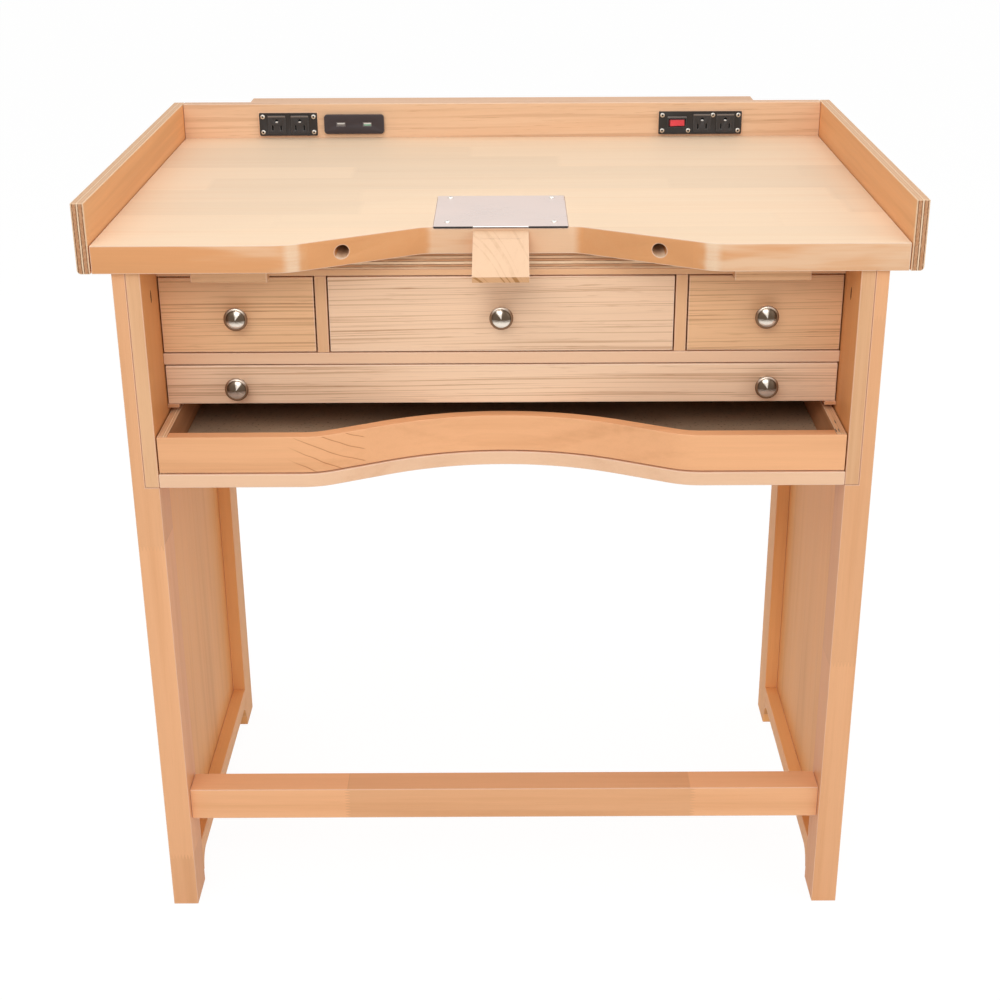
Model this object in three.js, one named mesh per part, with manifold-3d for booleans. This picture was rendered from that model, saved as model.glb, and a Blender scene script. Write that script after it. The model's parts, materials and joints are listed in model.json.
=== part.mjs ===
// A jeweller's bench of pale wood: a worktop with a cut-out front and a raised gallery, a cabinet of
// drawers with a catch tray below it, two pull-out armrests, and four legs with panelled sides.
// Millimetres, +Z up, front towards -Y. Y is counted back from the worktop's front edge while the
// pieces are made, and the whole bench is then centred over the origin.
import * as THREE from "three";
import { mergeVertices } from "three/addons/utils/BufferGeometryUtils.js";
import Module from "manifold-3d";

const wasm = await Module();
wasm.setup();

// Fits
const glueLine = 0.3; // between two boards that are glued or screwed together
const slideFit = 0.3; // under a drawer, tray or armrest that rests on its runner
const drawerGap = 1.5; // round a drawer front

// Worktop
const benchWidth = 1000;
const worktopHeight = 941;
const worktopDepth = 650;
const worktopThickness = 34;
const frontBoardDepth = 110;
const wingWidth = 248; // from the bench's side to where the cut-out starts
const cutoutDepth = 87;
const cutoutBackHalf = 94;
const cutoutOuterRadius = 70;
const cutoutInnerRadius = 38;
const mandrelDiameter = 16.5;
const mandrelDepth = 62;
const mandrelInset = 62; // in from where the cut-out starts

// Gallery
const galleryThickness = 16;
const galleryRise = 51;
const galleryEdgeRadius = 5;

// Bench plate and pin
const plateSize = 165;
const plateThickness = 2.5;
const plateProud = 0.5;
const plateOverhang = 1.5;
const plateCornerRadius = 2;
const pinWidth = 68;
const pinLength = 95;
const pinRootHeight = 39;
const pinTipHeight = 7;
const pinDrop = 5; // below the worktop surface, at the root
const tenonWidth = 50;
const tenonThickness = 18;
const tenonLength = 44;

// Legs and side frames
const legWidth = 34;
const legDepth = 57;
const legInset = 38; // from the bench's side to the leg's outer face
const legSetback = 8; // from the worktop's front edge to the leg
const frameDepth = 542; // front of the front legs to back of the rear legs
const sidePanelThickness = 8;
const sidePanelInset = 6; // from the leg's outer face
const sidePanelTongue = 8;
const railTop = 66;
const railHeight = 26;
const coveRadius = 24;
const coveLand = 3;
const stretcherClear = 134; // from the floor up to the stretcher
const stretcherHeight = 46;
const stretcherDepth = 42;
const stretcherSetback = 10; // behind the front of the legs

// Cabinet
const cabinetSideThickness = 18;
const cabinetHeight = 277; // from the worktop's underside down to the knee space
const bottomThickness = 18;
const backThickness = 12;
const fascia = 89; // from the front of the legs back to the drawer fronts
const dividerThickness = 15;
const sideDrawerSpan = 195.5; // between a cabinet side and its divider
const shelfThickness = 15;
const upperDrawerSpan = 100; // between the shelf and the top board
const topBoardThickness = 8;
const armrestLayer = 22; // height of the armrests' channel under the worktop
const runnerThickness = 5;
const runnerWidth = 15;

// Knee curve of the catch tray and the cabinet's bottom board
const kneeCurveDepth = 74;
const kneeWing = 200; // from a cabinet side to the corner where the front turns back
const kneeCornerRadius = 90;
const kneeSlope = 26; // degrees between the wing and the slope that runs back from it

// Drawers and tray
const drawerFrontThickness = 16;
const drawerWall = 12;
const drawerBackGap = 41; // behind a drawer
const drawerSideDrop = 16; // a drawer side stands this much lower than its front
const drawerBottomThickness = 5;
const drawerBottomRise = 4;
const wideDrawerHeight = 51;
const wideKnobInset = 93; // from a cabinet side
const trayHeight = 49;
const trayFrontThickness = 18;
const trayWall = 12;
const trayLap = 3; // of the tray front over the ends of the sides
const trayBackGap = 18; // behind the tray
const linerThickness = 2;
const linerRise = 4;

// Knob
const knobDiameter = 30;
const knobHeight = 24;
const knobFootDiameter = 18;
const knobFootHeight = 2;
const knobNeckDiameter = 12;
const knobNeckHeight = 8; // where the neck starts to flare
const knobRimHeight = 16;
const knobShoulder = 21; // height where the rim turns into the domed face
const knobFaceDiameter = 24;
const knobSteps = 3; // points on each curve of the profile

// Armrests
const armrestWidth = 94;
const armrestInset = 49; // from a cabinet side
const armrestThickness = 17.5;
const armrestLength = 360;
const armrestSetback = 60;
const armrestLipDepth = 20;
const armrestLipDrop = 7;
const armrestSideFit = 1;
const armrestEdgeRadius = 4;

// Power fittings
const fittingCentre = 20.5; // above the worktop surface
const outletPlateHeight = 34;
const outletPlateThickness = 4;
const outletPlateRadius = 2;
const leftPlateWidth = 88;
const leftPlateInset = 159; // from the left gallery board to the plate's middle
const rightPlateWidth = 126;
const rightPlateInset = 182.5; // from the right gallery board to the plate's middle
const socketSpacing = 35;
const socketWidth = 27;
const socketHeight = 27;
const socketProud = 1;
const rightSocketsShift = 20.5; // from the plate's middle
const receptacleDepth = 30;
const slotWidth = 2.2;
const slotHeight = 8;
const slotSpacing = 12.7;
const slotDrop = 5;
const slotDepth = 10;
const groundDiameter = 5.4;
const groundRise = 5.5;
const usbPlateWidth = 91;
const usbPlateHeight = 29;
const usbPlateThickness = 5;
const usbPlateRadius = 5;
const usbPlateSpacing = 100; // from the left outlet plate's middle
const usbBodyWidth = 80;
const usbBodyHeight = 21;
const usbBodyDepth = 30;
const usbPortSpacing = 40;
const usbPortWidth = 13.4;
const usbPortHeight = 6;
const usbPortDepth = 14;
const rockerShift = 35; // from the plate's middle
const rockerLength = 24;
const rockerHeight = 11;
const rockerDepth = 12;
const rockerCrown = 1.6;
const rockerTilt = 8; // degrees from level, each way
const rockerFit = 0.8; // at each end of the rocker
const wiringBoxDepth = 34;
const wiringBoxWall = 5;
const wiringBoxInset = 100; // from a gallery board to the end of the box
const glandDiameter = 18;
const glandHeight = 12;
const glandShank = 12; // diameter through the box's floor

// Round stretches
const arcSteps = 12;
const roundSides = 24;

// Places worked out from the sizes
const seam = glueLine / 2;
const halfWidth = benchWidth / 2;
const worktopHalf = halfWidth - galleryThickness;
const underside = worktopHeight - worktopThickness;
const galleryTop = worktopHeight + galleryRise;
const galleryBack = worktopDepth + galleryThickness;
const cutoutFrontHalf = halfWidth - wingWidth;
const mandrelOffset = cutoutFrontHalf - mandrelInset;
const plateHalf = plateSize / 2;
const tongueHalf = plateHalf + glueLine;
const legOuter = halfWidth - legInset;
const legInner = legOuter - legWidth;
const frameFront = legSetback;
const frameBack = frameFront + frameDepth;
const panelInner = legInner + cabinetSideThickness; // where the cabinet side meets the leg
const sidePanelOuter = legOuter - sidePanelInset;
const sidePanelInner = sidePanelOuter - sidePanelThickness;
const railBottom = railTop - railHeight;
const stretcherTop = stretcherClear + stretcherHeight;
const cabinetHalf = legInner;
const cabinetBack = frameBack - backThickness;
const kneeCornerHalf = cabinetHalf - kneeWing;
const dividerOffset = cabinetHalf - sideDrawerSpan - dividerThickness / 2;
const armrestOffset = cabinetHalf - armrestInset - armrestWidth / 2;
const wideKnobOffset = cabinetHalf - wideKnobInset;
const drawerFace = frameFront + fascia;
const drawerBack = cabinetBack - drawerBackGap;
const trayBack = cabinetBack - trayBackGap;
const kneeHeight = underside - cabinetHeight;
const floorTop = kneeHeight + bottomThickness;
const channelFloor = underside - armrestLayer;
const upperTop = channelFloor - topBoardThickness;
const shelfTop = upperTop - upperDrawerSpan;
const shelfUnder = shelfTop - shelfThickness;
const wideTop = shelfUnder - drawerGap;
const wideBottom = wideTop - wideDrawerHeight;
const runnerTop = wideBottom - slideFit;
const fittingHeight = worktopHeight + fittingCentre;
const leftPlateOffset = worktopHalf - leftPlateInset;
const usbPlateOffset = leftPlateOffset - usbPlateSpacing;
const rightPlateOffset = worktopHalf - rightPlateInset;
const rightSocketsOffset = rightPlateOffset + rightSocketsShift;
const rockerOffset = rightPlateOffset - rockerShift;
const pinTip = cutoutDepth - pinLength;
const wiringBoxBack = galleryBack + wiringBoxDepth;
const wiringBoxHalf = worktopHalf - wiringBoxInset;
const wiringBoxBottom = fittingHeight - (galleryTop - fittingHeight);
const depthCentre = (pinTip + wiringBoxBack) / 2;

// Finishes: colours as seen in daylight
const finish = (color, roughness, metalness = 0) =>
  new THREE.MeshStandardMaterial({ color, roughness, metalness });
const paleWood = () => finish(0xefcfa5, 0.5);
const frameWood = () => finish(0xe0ab7c, 0.55);
const drawerWood = () => finish(0xdcae80, 0.55);
const plyWood = () => finish(0xd9b48a, 0.6);
const steel = () => finish(0xd8d2cf, 0.3, 1);
const nickel = () => finish(0xb8b2aa, 0.35, 1);
const linerGrey = () => finish(0x4a4540, 0.5, 0.8);
const blackPlastic = () => finish(0x1b1a1a, 0.45);
const redPlastic = () => finish(0xd23a44, 0.35);

// Solids
const bench = new THREE.Group();
bench.position.y = -depthCentre;

function solidOf(geometry) {
  const bare = geometry.clone();
  bare.deleteAttribute("normal");
  bare.deleteAttribute("uv");
  const merged = mergeVertices(bare, 1e-4);
  return new wasm.Manifold(
    new wasm.Mesh({
      numProp: 3,
      vertProperties: new Float32Array(merged.attributes.position.array),
      triVerts: new Uint32Array(merged.index.array),
    }),
  );
}

function geometryOf(solid) {
  const mesh = solid.getMesh();
  const geometry = new THREE.BufferGeometry();
  geometry.setAttribute("position", new THREE.BufferAttribute(mesh.vertProperties, 3));
  geometry.setIndex(new THREE.BufferAttribute(mesh.triVerts, 1));
  geometry.computeVertexNormals();
  return geometry;
}

function cut(geometry, ...tools) {
  const left = tools.reduce((solid, tool) => solid.subtract(solidOf(tool)), solidOf(geometry));
  return geometryOf(left);
}

function join(geometry, ...others) {
  const whole = others.reduce((solid, other) => solid.add(solidOf(other)), solidOf(geometry));
  return geometryOf(whole);
}

// A plain block between two corners.
function block([x0, x1], [y0, y1], [z0, z1]) {
  const geometry = new THREE.BoxGeometry(x1 - x0, y1 - y0, z1 - z0);
  return geometry.translate((x0 + x1) / 2, (y0 + y1) / 2, (z0 + z1) / 2);
}

// A board drawn to its nominal faces and planed back by half a glue line on each of them.
function board([x0, x1], [y0, y1], [z0, z1]) {
  return block([x0 + seam, x1 - seam], [y0 + seam, y1 - seam], [z0 + seam, z1 - seam]);
}

// An outline in X and Y, raised along Z.
function raise(shape, [z0, z1]) {
  const options = { depth: z1 - z0, bevelEnabled: false, curveSegments: arcSteps };
  return new THREE.ExtrudeGeometry(shape, options).translate(0, 0, z0);
}

// An outline in Y and Z, run along X.
function runAcross(shape, [x0, x1]) {
  const turn = new THREE.Matrix4().makeBasis(
    new THREE.Vector3(0, 1, 0),
    new THREE.Vector3(0, 0, 1),
    new THREE.Vector3(1, 0, 0),
  );
  return raise(shape, [x0, x1]).applyMatrix4(turn);
}

// An outline in X and Z, run back along Y.
function runBack(shape, [y0, y1]) {
  const turn = new THREE.Matrix4().makeBasis(
    new THREE.Vector3(1, 0, 0),
    new THREE.Vector3(0, 0, 1),
    new THREE.Vector3(0, -1, 0),
  );
  return raise(shape, [-y1, -y0]).applyMatrix4(turn);
}

// A straight-sided outline whose listed corners are rounded where they carry a radius.
function outline(corners) {
  const shape = new THREE.Shape();
  corners.forEach(([x, y, radius = 0], i) => {
    const corner = new THREE.Vector2(x, y);
    if (!radius) {
      if (i) shape.lineTo(x, y);
      else shape.moveTo(x, y);
      return;
    }
    const before = new THREE.Vector2(...corners.at(i - 1)).sub(corner).normalize();
    const after = new THREE.Vector2(...corners[(i + 1) % corners.length]).sub(corner).normalize();
    const half = Math.acos(before.dot(after)) / 2;
    const reach = radius / Math.tan(half);
    const start = corner.clone().addScaledVector(before, reach);
    const end = corner.clone().addScaledVector(after, reach);
    const middle = before.clone().add(after).setLength(radius / Math.sin(half)).add(corner);
    if (i) shape.lineTo(start.x, start.y);
    else shape.moveTo(start.x, start.y);
    const from = Math.atan2(start.y - middle.y, start.x - middle.x);
    const to = Math.atan2(end.y - middle.y, end.x - middle.x);
    shape.absarc(middle.x, middle.y, radius, from, to, before.cross(after) > 0);
  });
  return shape;
}

function roundedRectangle(halfX, halfY, radius, centreX = 0, centreY = 0) {
  return outline([
    [centreX - halfX, centreY - halfY, radius],
    [centreX + halfX, centreY - halfY, radius],
    [centreX + halfX, centreY + halfY, radius],
    [centreX - halfX, centreY + halfY, radius],
  ]);
}

function addPiece(name, geometry, material) {
  const mesh = new THREE.Mesh(geometry, material);
  mesh.name = name;
  bench.add(mesh);
  return mesh;
}

// The same piece on both sides of the bench, drawn for the right.
function addPair(name, geometry, material) {
  addPiece(`right_${name}`, geometry, material());
  addPiece(`left_${name}`, geometry, material()).scale.x = -1;
}

// Worktop: the main panel with its tongue, and a front board on each side of the cut-out
function worktopPanel() {
  const shape = outline([
    [-worktopHalf + seam, frontBoardDepth + seam],
    [-tongueHalf + seam, frontBoardDepth + seam],
    [-tongueHalf + seam, cutoutDepth],
    [tongueHalf - seam, cutoutDepth],
    [tongueHalf - seam, frontBoardDepth + seam],
    [worktopHalf - seam, frontBoardDepth + seam],
    [worktopHalf - seam, worktopDepth - seam],
    [-worktopHalf + seam, worktopDepth - seam],
  ]);
  const plateBed = worktopHeight + plateProud - plateThickness - glueLine;
  const bedFront = cutoutDepth - plateOverhang;
  const bed = block(
    [-plateHalf - seam, plateHalf + seam],
    [bedFront, bedFront + plateSize + glueLine],
    [plateBed, worktopHeight + plateThickness],
  );
  const mortise = block(
    [-tenonWidth / 2 - slideFit, tenonWidth / 2 + slideFit],
    [cutoutDepth - tenonLength, cutoutDepth + tenonLength + slideFit],
    [tenonBottom - slideFit, tenonBottom + tenonThickness + slideFit],
  );
  return cut(raise(shape, [underside + seam, worktopHeight]), bed, mortise);
}

function frontBoard() {
  const shape = outline([
    [tongueHalf + seam, cutoutDepth],
    [cutoutBackHalf, cutoutDepth, cutoutInnerRadius],
    [cutoutFrontHalf, 0, cutoutOuterRadius],
    [worktopHalf - seam, 0],
    [worktopHalf - seam, frontBoardDepth - seam],
    [tongueHalf + seam, frontBoardDepth - seam],
  ]);
  const slope = cutoutDepth / (cutoutFrontHalf - cutoutBackHalf);
  const mouth = (cutoutFrontHalf - mandrelOffset) * slope;
  const bore = new THREE.CylinderGeometry(
    mandrelDiameter / 2,
    mandrelDiameter / 2,
    2 * mandrelDepth,
    roundSides,
  );
  bore.translate(mandrelOffset, mouth, underside + worktopThickness / 2);
  return cut(raise(shape, [underside + seam, worktopHeight]), bore);
}

// Gallery: boards at both sides and the back
function galleryBoard() {
  const shape = outline([
    [worktopHalf + seam, underside],
    [halfWidth, underside, galleryEdgeRadius],
    [halfWidth, galleryTop],
    [worktopHalf + seam, galleryTop],
  ]);
  return runBack(shape, [0, galleryBack]);
}

function backBoard() {
  const hole = (x, halfX, halfZ) =>
    block(
      [x - halfX, x + halfX],
      [worktopDepth - galleryThickness, galleryBack + galleryThickness],
      [fittingHeight - halfZ, fittingHeight + halfZ],
    );
  const receptacleHalf = (socketSpacing + socketWidth) / 2 + glueLine;
  const plain = block(
    [-worktopHalf + seam, worktopHalf - seam],
    [worktopDepth + seam, galleryBack],
    [underside, galleryTop],
  );
  return cut(
    plain,
    hole(-leftPlateOffset, receptacleHalf, socketHeight / 2 + glueLine),
    hole(rightSocketsOffset, receptacleHalf, socketHeight / 2 + glueLine),
    hole(-usbPlateOffset, usbBodyWidth / 2 + glueLine, usbBodyHeight / 2 + glueLine),
    hole(rockerOffset, rockerLength / 2 + rockerFit, rockerHeight / 2 + slideFit),
  );
}

// Bench plate and bench pin
function benchPlate() {
  const front = cutoutDepth - plateOverhang;
  const top = worktopHeight + plateProud;
  const shape = roundedRectangle(plateHalf - seam, plateHalf, plateCornerRadius, 0, front + plateHalf);
  return raise(shape, [top - plateThickness, top]);
}

const pinTop = worktopHeight - pinDrop;
const pinUnder = pinTop - pinRootHeight;
const tenonBottom = underside + (pinTop - underside - tenonThickness) / 2;

function benchPin() {
  const root = cutoutDepth - slideFit;
  const wedge = outline([
    [pinTip, pinUnder],
    [root, pinUnder],
    [root, pinTop],
    [pinTip, pinUnder + pinTipHeight],
  ]);
  const tenon = block(
    [-tenonWidth / 2, tenonWidth / 2],
    [root - tenonThickness, cutoutDepth + tenonLength],
    [tenonBottom, tenonBottom + tenonThickness],
  );
  return join(runAcross(wedge, [-pinWidth / 2, pinWidth / 2]), tenon);
}

// Frame: legs notched for the cabinet sides and grooved for the side panels
const grooveDepth = sidePanelTongue + glueLine;
const grooveSpan = [sidePanelInner - seam, sidePanelOuter + seam];

function leg(front, grooveAt) {
  const post = block([legInner + seam, legOuter], [front, front + legDepth], [0, underside - seam]);
  const notch = block(
    [legInner - seam, panelInner + seam],
    [front - legDepth, front + 2 * legDepth],
    [kneeHeight - seam, worktopHeight],
  );
  const groove = block(
    grooveSpan,
    [grooveAt - grooveDepth, grooveAt + grooveDepth],
    [railTop - grooveDepth, worktopHeight],
  );
  return cut(post, notch, groove);
}

function sidePanel() {
  const y0 = frameFront + legDepth - sidePanelTongue;
  const y1 = frameBack - legDepth + sidePanelTongue;
  return block(
    [sidePanelInner, sidePanelOuter],
    [y0, y1],
    [railTop - sidePanelTongue, underside - seam],
  );
}

function lowerRail() {
  const y0 = frameFront + legDepth + seam;
  const y1 = frameBack - legDepth - seam;
  const shape = new THREE.Shape();
  shape.moveTo(y0, railTop);
  shape.lineTo(y0, railBottom - coveRadius);
  shape.lineTo(y0 + coveLand, railBottom - coveRadius);
  shape.absarc(
    y0 + coveLand + coveRadius, railBottom - coveRadius, coveRadius, Math.PI, Math.PI / 2, true,
  );
  shape.absarc(
    y1 - coveLand - coveRadius, railBottom - coveRadius, coveRadius, Math.PI / 2, 0, true,
  );
  shape.lineTo(y1, railBottom - coveRadius);
  shape.lineTo(y1, railTop);
  const groove = block(grooveSpan, [y0 - legDepth, y1 + legDepth], [railTop - grooveDepth, 2 * railTop]);
  return cut(runAcross(shape, [legInner + seam, legOuter]), groove);
}

function stretcher() {
  const front = frameFront + stretcherSetback;
  return board(
    [-legInner, legInner],
    [front, front + stretcherDepth],
    [stretcherTop - stretcherHeight, stretcherTop],
  );
}

// Knee curve: straight wings, rounded corners, slopes that run back from them and a wide arc in the
// middle. The path is followed from left to right on the front face, or from right to left on a face
// that lies further back.
const kneeTurn = THREE.MathUtils.degToRad(kneeSlope);
const kneeCurveHalf = kneeCornerHalf + kneeCornerRadius * Math.tan(kneeTurn / 2);
const kneePeak = kneeCornerHalf * Math.tan(kneeTurn); // where the two slopes would meet
const kneeMiddleRadius = (kneePeak - kneeCurveDepth) / (1 / Math.cos(kneeTurn) - 1);

function followKneeCurve(shape, back, leftwards = false) {
  const down = -Math.PI / 2;
  const up = Math.PI / 2;
  const wingCentre = frameFront + kneeCornerRadius;
  const middleCentre = frameFront + kneeCurveDepth - kneeMiddleRadius;
  const wing = kneeCornerRadius - back;
  const middle = kneeMiddleRadius + back;
  if (leftwards) {
    shape.absarc(kneeCurveHalf, wingCentre, wing, down, down - kneeTurn, true);
    shape.absarc(0, middleCentre, middle, up - kneeTurn, up + kneeTurn, false);
    shape.absarc(-kneeCurveHalf, wingCentre, wing, down + kneeTurn, down, true);
  } else {
    shape.absarc(-kneeCurveHalf, wingCentre, wing, down, down + kneeTurn, false);
    shape.absarc(0, middleCentre, middle, up + kneeTurn, up - kneeTurn, true);
    shape.absarc(kneeCurveHalf, wingCentre, wing, down - kneeTurn, down, false);
  }
}

// A board from the knee curve back to a straight edge.
function kneeBoard(half, back, rear) {
  const shape = new THREE.Shape();
  shape.moveTo(-half, rear);
  shape.lineTo(-half, frameFront + back);
  followKneeCurve(shape, back);
  shape.lineTo(half, frameFront + back);
  shape.lineTo(half, rear);
  return shape;
}

// Cabinet
function addCabinet() {
  const inside = [-cabinetHalf, cabinetHalf];
  const depth = [drawerFace, cabinetBack];
  const side = board([legInner, panelInner], [frameFront, frameBack], [kneeHeight, underside]);
  addPair("cabinet_side", side, frameWood);
  addPiece(
    "cabinet_bottom",
    raise(kneeBoard(cabinetHalf - seam, 0, cabinetBack - seam), [kneeHeight, floorTop]),
    frameWood(),
  );
  addPiece("cabinet_back", board(inside, [cabinetBack, frameBack], [kneeHeight, underside]), plyWood());
  addPiece("cabinet_top", board(inside, depth, [upperTop, channelFloor]), frameWood());
  addPiece("shelf", board(inside, depth, [shelfUnder, shelfTop]), frameWood());
  const dividerHalf = dividerThickness / 2;
  const dividerSpan = [dividerOffset - dividerHalf, dividerOffset + dividerHalf];
  addPair("divider", board(dividerSpan, depth, [shelfTop, upperTop]), frameWood);
  addPair(
    "runner",
    board([cabinetHalf - runnerWidth, cabinetHalf], depth, [runnerTop - runnerThickness, runnerTop + seam]),
    plyWood,
  );
  const armrestInner = armrestOffset - armrestWidth / 2 - armrestSideFit;
  const armrestOuter = armrestOffset + armrestWidth / 2 + armrestSideFit;
  const channel = [channelFloor, underside];
  addPiece("middle_spacer", board([-armrestInner, armrestInner], depth, channel), plyWood());
  addPair("outer_spacer", board([armrestOuter, cabinetHalf], depth, channel), plyWood);
}

function armrest() {
  const bottom = channelFloor + slideFit;
  const lipBack = armrestSetback + armrestLipDepth;
  const shape = outline([
    [armrestSetback, bottom - armrestLipDrop, armrestEdgeRadius],
    [lipBack, bottom - armrestLipDrop],
    [lipBack, bottom],
    [armrestSetback + armrestLength, bottom],
    [armrestSetback + armrestLength, bottom + armrestThickness],
    [armrestSetback, bottom + armrestThickness, armrestEdgeRadius],
  ]);
  const half = armrestWidth / 2;
  return runAcross(shape, [armrestOffset - half, armrestOffset + half]);
}

// Drawers
function knob() {
  const rim = knobDiameter / 2;
  const neck = knobNeckDiameter / 2;
  const foot = knobFootDiameter / 2;
  const face = knobFaceDiameter / 2;
  const profile = new THREE.Path();
  profile.moveTo(0, 0);
  profile.lineTo(foot, 0);
  profile.lineTo(foot, knobFootHeight);
  profile.quadraticCurveTo(neck, knobFootHeight, neck, knobNeckHeight);
  profile.quadraticCurveTo(neck, knobRimHeight, rim, knobRimHeight);
  profile.quadraticCurveTo(rim, knobShoulder, face, knobShoulder);
  profile.quadraticCurveTo(neck, knobHeight, 0, knobHeight);
  const turned = new THREE.LatheGeometry(profile.getPoints(knobSteps), roundSides);
  return turned.rotateX(Math.PI);
}

function addKnob(name, x, z) {
  addPiece(name, knob(), nickel()).position.set(x, drawerFace - glueLine, z);
}

// Two sides and a back, as one box open to the front.
function drawerBox(x0, x1, [front, rear], [z0, z1], wall) {
  const shape = outline([
    [x0, front],
    [x0 + wall, front],
    [x0 + wall, rear - wall],
    [x1 - wall, rear - wall],
    [x1 - wall, front],
    [x1, front],
    [x1, rear],
    [x0, rear],
  ]);
  return raise(shape, [z0, z1]);
}

function addDrawer(name, [x0, x1], [z0, z1], seat, knobPlaces) {
  const boxFront = drawerFace + drawerFrontThickness + glueLine;
  const bottom = seat + slideFit;
  const front = block([x0, x1], [drawerFace, drawerFace + drawerFrontThickness], [z0, z1]);
  addPiece(`${name}_front`, front, drawerWood());
  const boxSpan = [boxFront, drawerBack];
  const box = drawerBox(x0, x1, boxSpan, [bottom, z1 - drawerSideDrop], drawerWall);
  addPiece(`${name}_box`, box, plyWood());
  const panel = block(
    [x0 + drawerWall + glueLine, x1 - drawerWall - glueLine],
    [boxFront, drawerBack - drawerWall - glueLine],
    [bottom + drawerBottomRise, bottom + drawerBottomRise + drawerBottomThickness],
  );
  addPiece(`${name}_bottom`, panel, plyWood());
  knobPlaces.forEach(([knobName, x]) => addKnob(knobName, x, (z0 + z1) / 2));
}

function addDrawers() {
  const outer = cabinetHalf - drawerGap;
  const dividerOuter = dividerOffset + dividerThickness / 2 + drawerGap;
  const dividerInner = dividerOffset - dividerThickness / 2 - drawerGap;
  const upper = [shelfTop + drawerGap, upperTop - drawerGap];
  const sideMiddle = (outer + dividerOuter) / 2;
  addDrawer("left_drawer", [-outer, -dividerOuter], upper, shelfTop, [["left_drawer_knob", -sideMiddle]]);
  addDrawer("middle_drawer", [-dividerInner, dividerInner], upper, shelfTop, [["middle_drawer_knob", 0]]);
  addDrawer("right_drawer", [dividerOuter, outer], upper, shelfTop, [["right_drawer_knob", sideMiddle]]);
  addDrawer("wide_drawer", [-outer, outer], [wideBottom, wideTop], runnerTop, [
    ["wide_drawer_left_knob", -wideKnobOffset],
    ["wide_drawer_right_knob", wideKnobOffset],
  ]);
}

// Catch tray
function addTray() {
  const half = cabinetHalf - drawerGap;
  const bottom = floorTop + slideFit;
  const top = bottom + trayHeight;
  const faceShape = new THREE.Shape();
  faceShape.moveTo(-half, frameFront + trayFrontThickness);
  faceShape.lineTo(-half, frameFront);
  followKneeCurve(faceShape, 0);
  faceShape.lineTo(half, frameFront);
  faceShape.lineTo(half, frameFront + trayFrontThickness);
  followKneeCurve(faceShape, trayFrontThickness, true);
  const lapBack = frameFront + trayLap;
  const rebates = [-1, 1].map((side) => {
    const inner = side * (half - trayWall - glueLine);
    const outer = side * (half + trayWall);
    return block(
      [Math.min(inner, outer), Math.max(inner, outer)],
      [lapBack, lapBack + 2 * trayFrontThickness],
      [kneeHeight, underside],
    );
  });
  addPiece("tray_front", cut(raise(faceShape, [bottom, top]), ...rebates), frameWood());
  const boxSpan = [lapBack + glueLine, trayBack];
  addPiece("tray_box", drawerBox(-half, half, boxSpan, [bottom, top], trayWall), plyWood());
  const linerHalf = half - trayWall - glueLine;
  const linerShape = kneeBoard(linerHalf, trayFrontThickness + glueLine, trayBack - trayWall - glueLine);
  const linerFloor = bottom + linerRise;
  addPiece("tray_liner", raise(linerShape, [linerFloor, linerFloor + linerThickness]), linerGrey());
}

// Power fittings, set in the back board
const plateFront = worktopDepth - outletPlateThickness;

function facePlate(x, width, height, thickness, radius) {
  const shape = roundedRectangle(width / 2, height / 2, radius, x, fittingHeight);
  return runBack(shape, [worktopDepth - thickness, worktopDepth]);
}

function socketHoles(x) {
  return [-1, 1].map((side) => {
    const middle = x + (side * socketSpacing) / 2;
    const half = socketWidth / 2 + glueLine;
    const halfHeight = socketHeight / 2 + glueLine;
    return block(
      [middle - half, middle + half],
      [plateFront - outletPlateThickness, worktopDepth + outletPlateThickness],
      [fittingHeight - halfHeight, fittingHeight + halfHeight],
    );
  });
}

function receptacle(x) {
  const halfBody = (socketSpacing + socketWidth) / 2;
  const halfHeight = socketHeight / 2;
  const height = [fittingHeight - halfHeight, fittingHeight + halfHeight];
  const face = plateFront - socketProud;
  let solid = block(
    [x - halfBody, x + halfBody],
    [worktopDepth + glueLine, worktopDepth + receptacleDepth],
    height,
  );
  for (const side of [-1, 1]) {
    const middle = x + (side * socketSpacing) / 2;
    const span = [middle - socketWidth / 2, middle + socketWidth / 2];
    solid = join(solid, block(span, [face, worktopDepth + receptacleDepth], height));
    const reach = [face - slotDepth, face + slotDepth];
    const slots = [-1, 1].map((slotSide) => {
      const slotX = middle + (slotSide * slotSpacing) / 2;
      const low = fittingHeight - slotDrop;
      return block(
        [slotX - slotWidth / 2, slotX + slotWidth / 2],
        reach,
        [low - slotHeight / 2, low + slotHeight / 2],
      );
    });
    const groundRadius = groundDiameter / 2;
    const ground = new THREE.CylinderGeometry(groundRadius, groundRadius, 2 * slotDepth, arcSteps);
    ground.translate(middle, face, fittingHeight + groundRise);
    solid = cut(solid, ...slots, ground);
  }
  return solid;
}

function usbPlate() {
  const plate = facePlate(-usbPlateOffset, usbPlateWidth, usbPlateHeight, usbPlateThickness, usbPlateRadius);
  const body = block(
    [-usbPlateOffset - usbBodyWidth / 2, -usbPlateOffset + usbBodyWidth / 2],
    [worktopDepth - usbPlateThickness / 2, worktopDepth + usbBodyDepth],
    [fittingHeight - usbBodyHeight / 2, fittingHeight + usbBodyHeight / 2],
  );
  const front = worktopDepth - usbPlateThickness;
  const ports = [-1, 1].map((side) => {
    const middle = -usbPlateOffset + (side * usbPortSpacing) / 2;
    return block(
      [middle - usbPortWidth / 2, middle + usbPortWidth / 2],
      [front - usbPortDepth, front + usbPortDepth],
      [fittingHeight - usbPortHeight / 2, fittingHeight + usbPortHeight / 2],
    );
  });
  return cut(join(plate, body), ...ports);
}

// A switch paddle with a shallow V face, tilted to one side about its upright pivot.
function rocker() {
  const half = rockerLength / 2;
  const shape = outline([
    [-half, -rockerCrown],
    [0, 0],
    [half, -rockerCrown],
    [half, rockerDepth / 3],
    [0, rockerDepth],
    [-half, rockerDepth / 3],
  ]);
  return raise(shape, [-rockerHeight / 2, rockerHeight / 2]);
}

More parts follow.
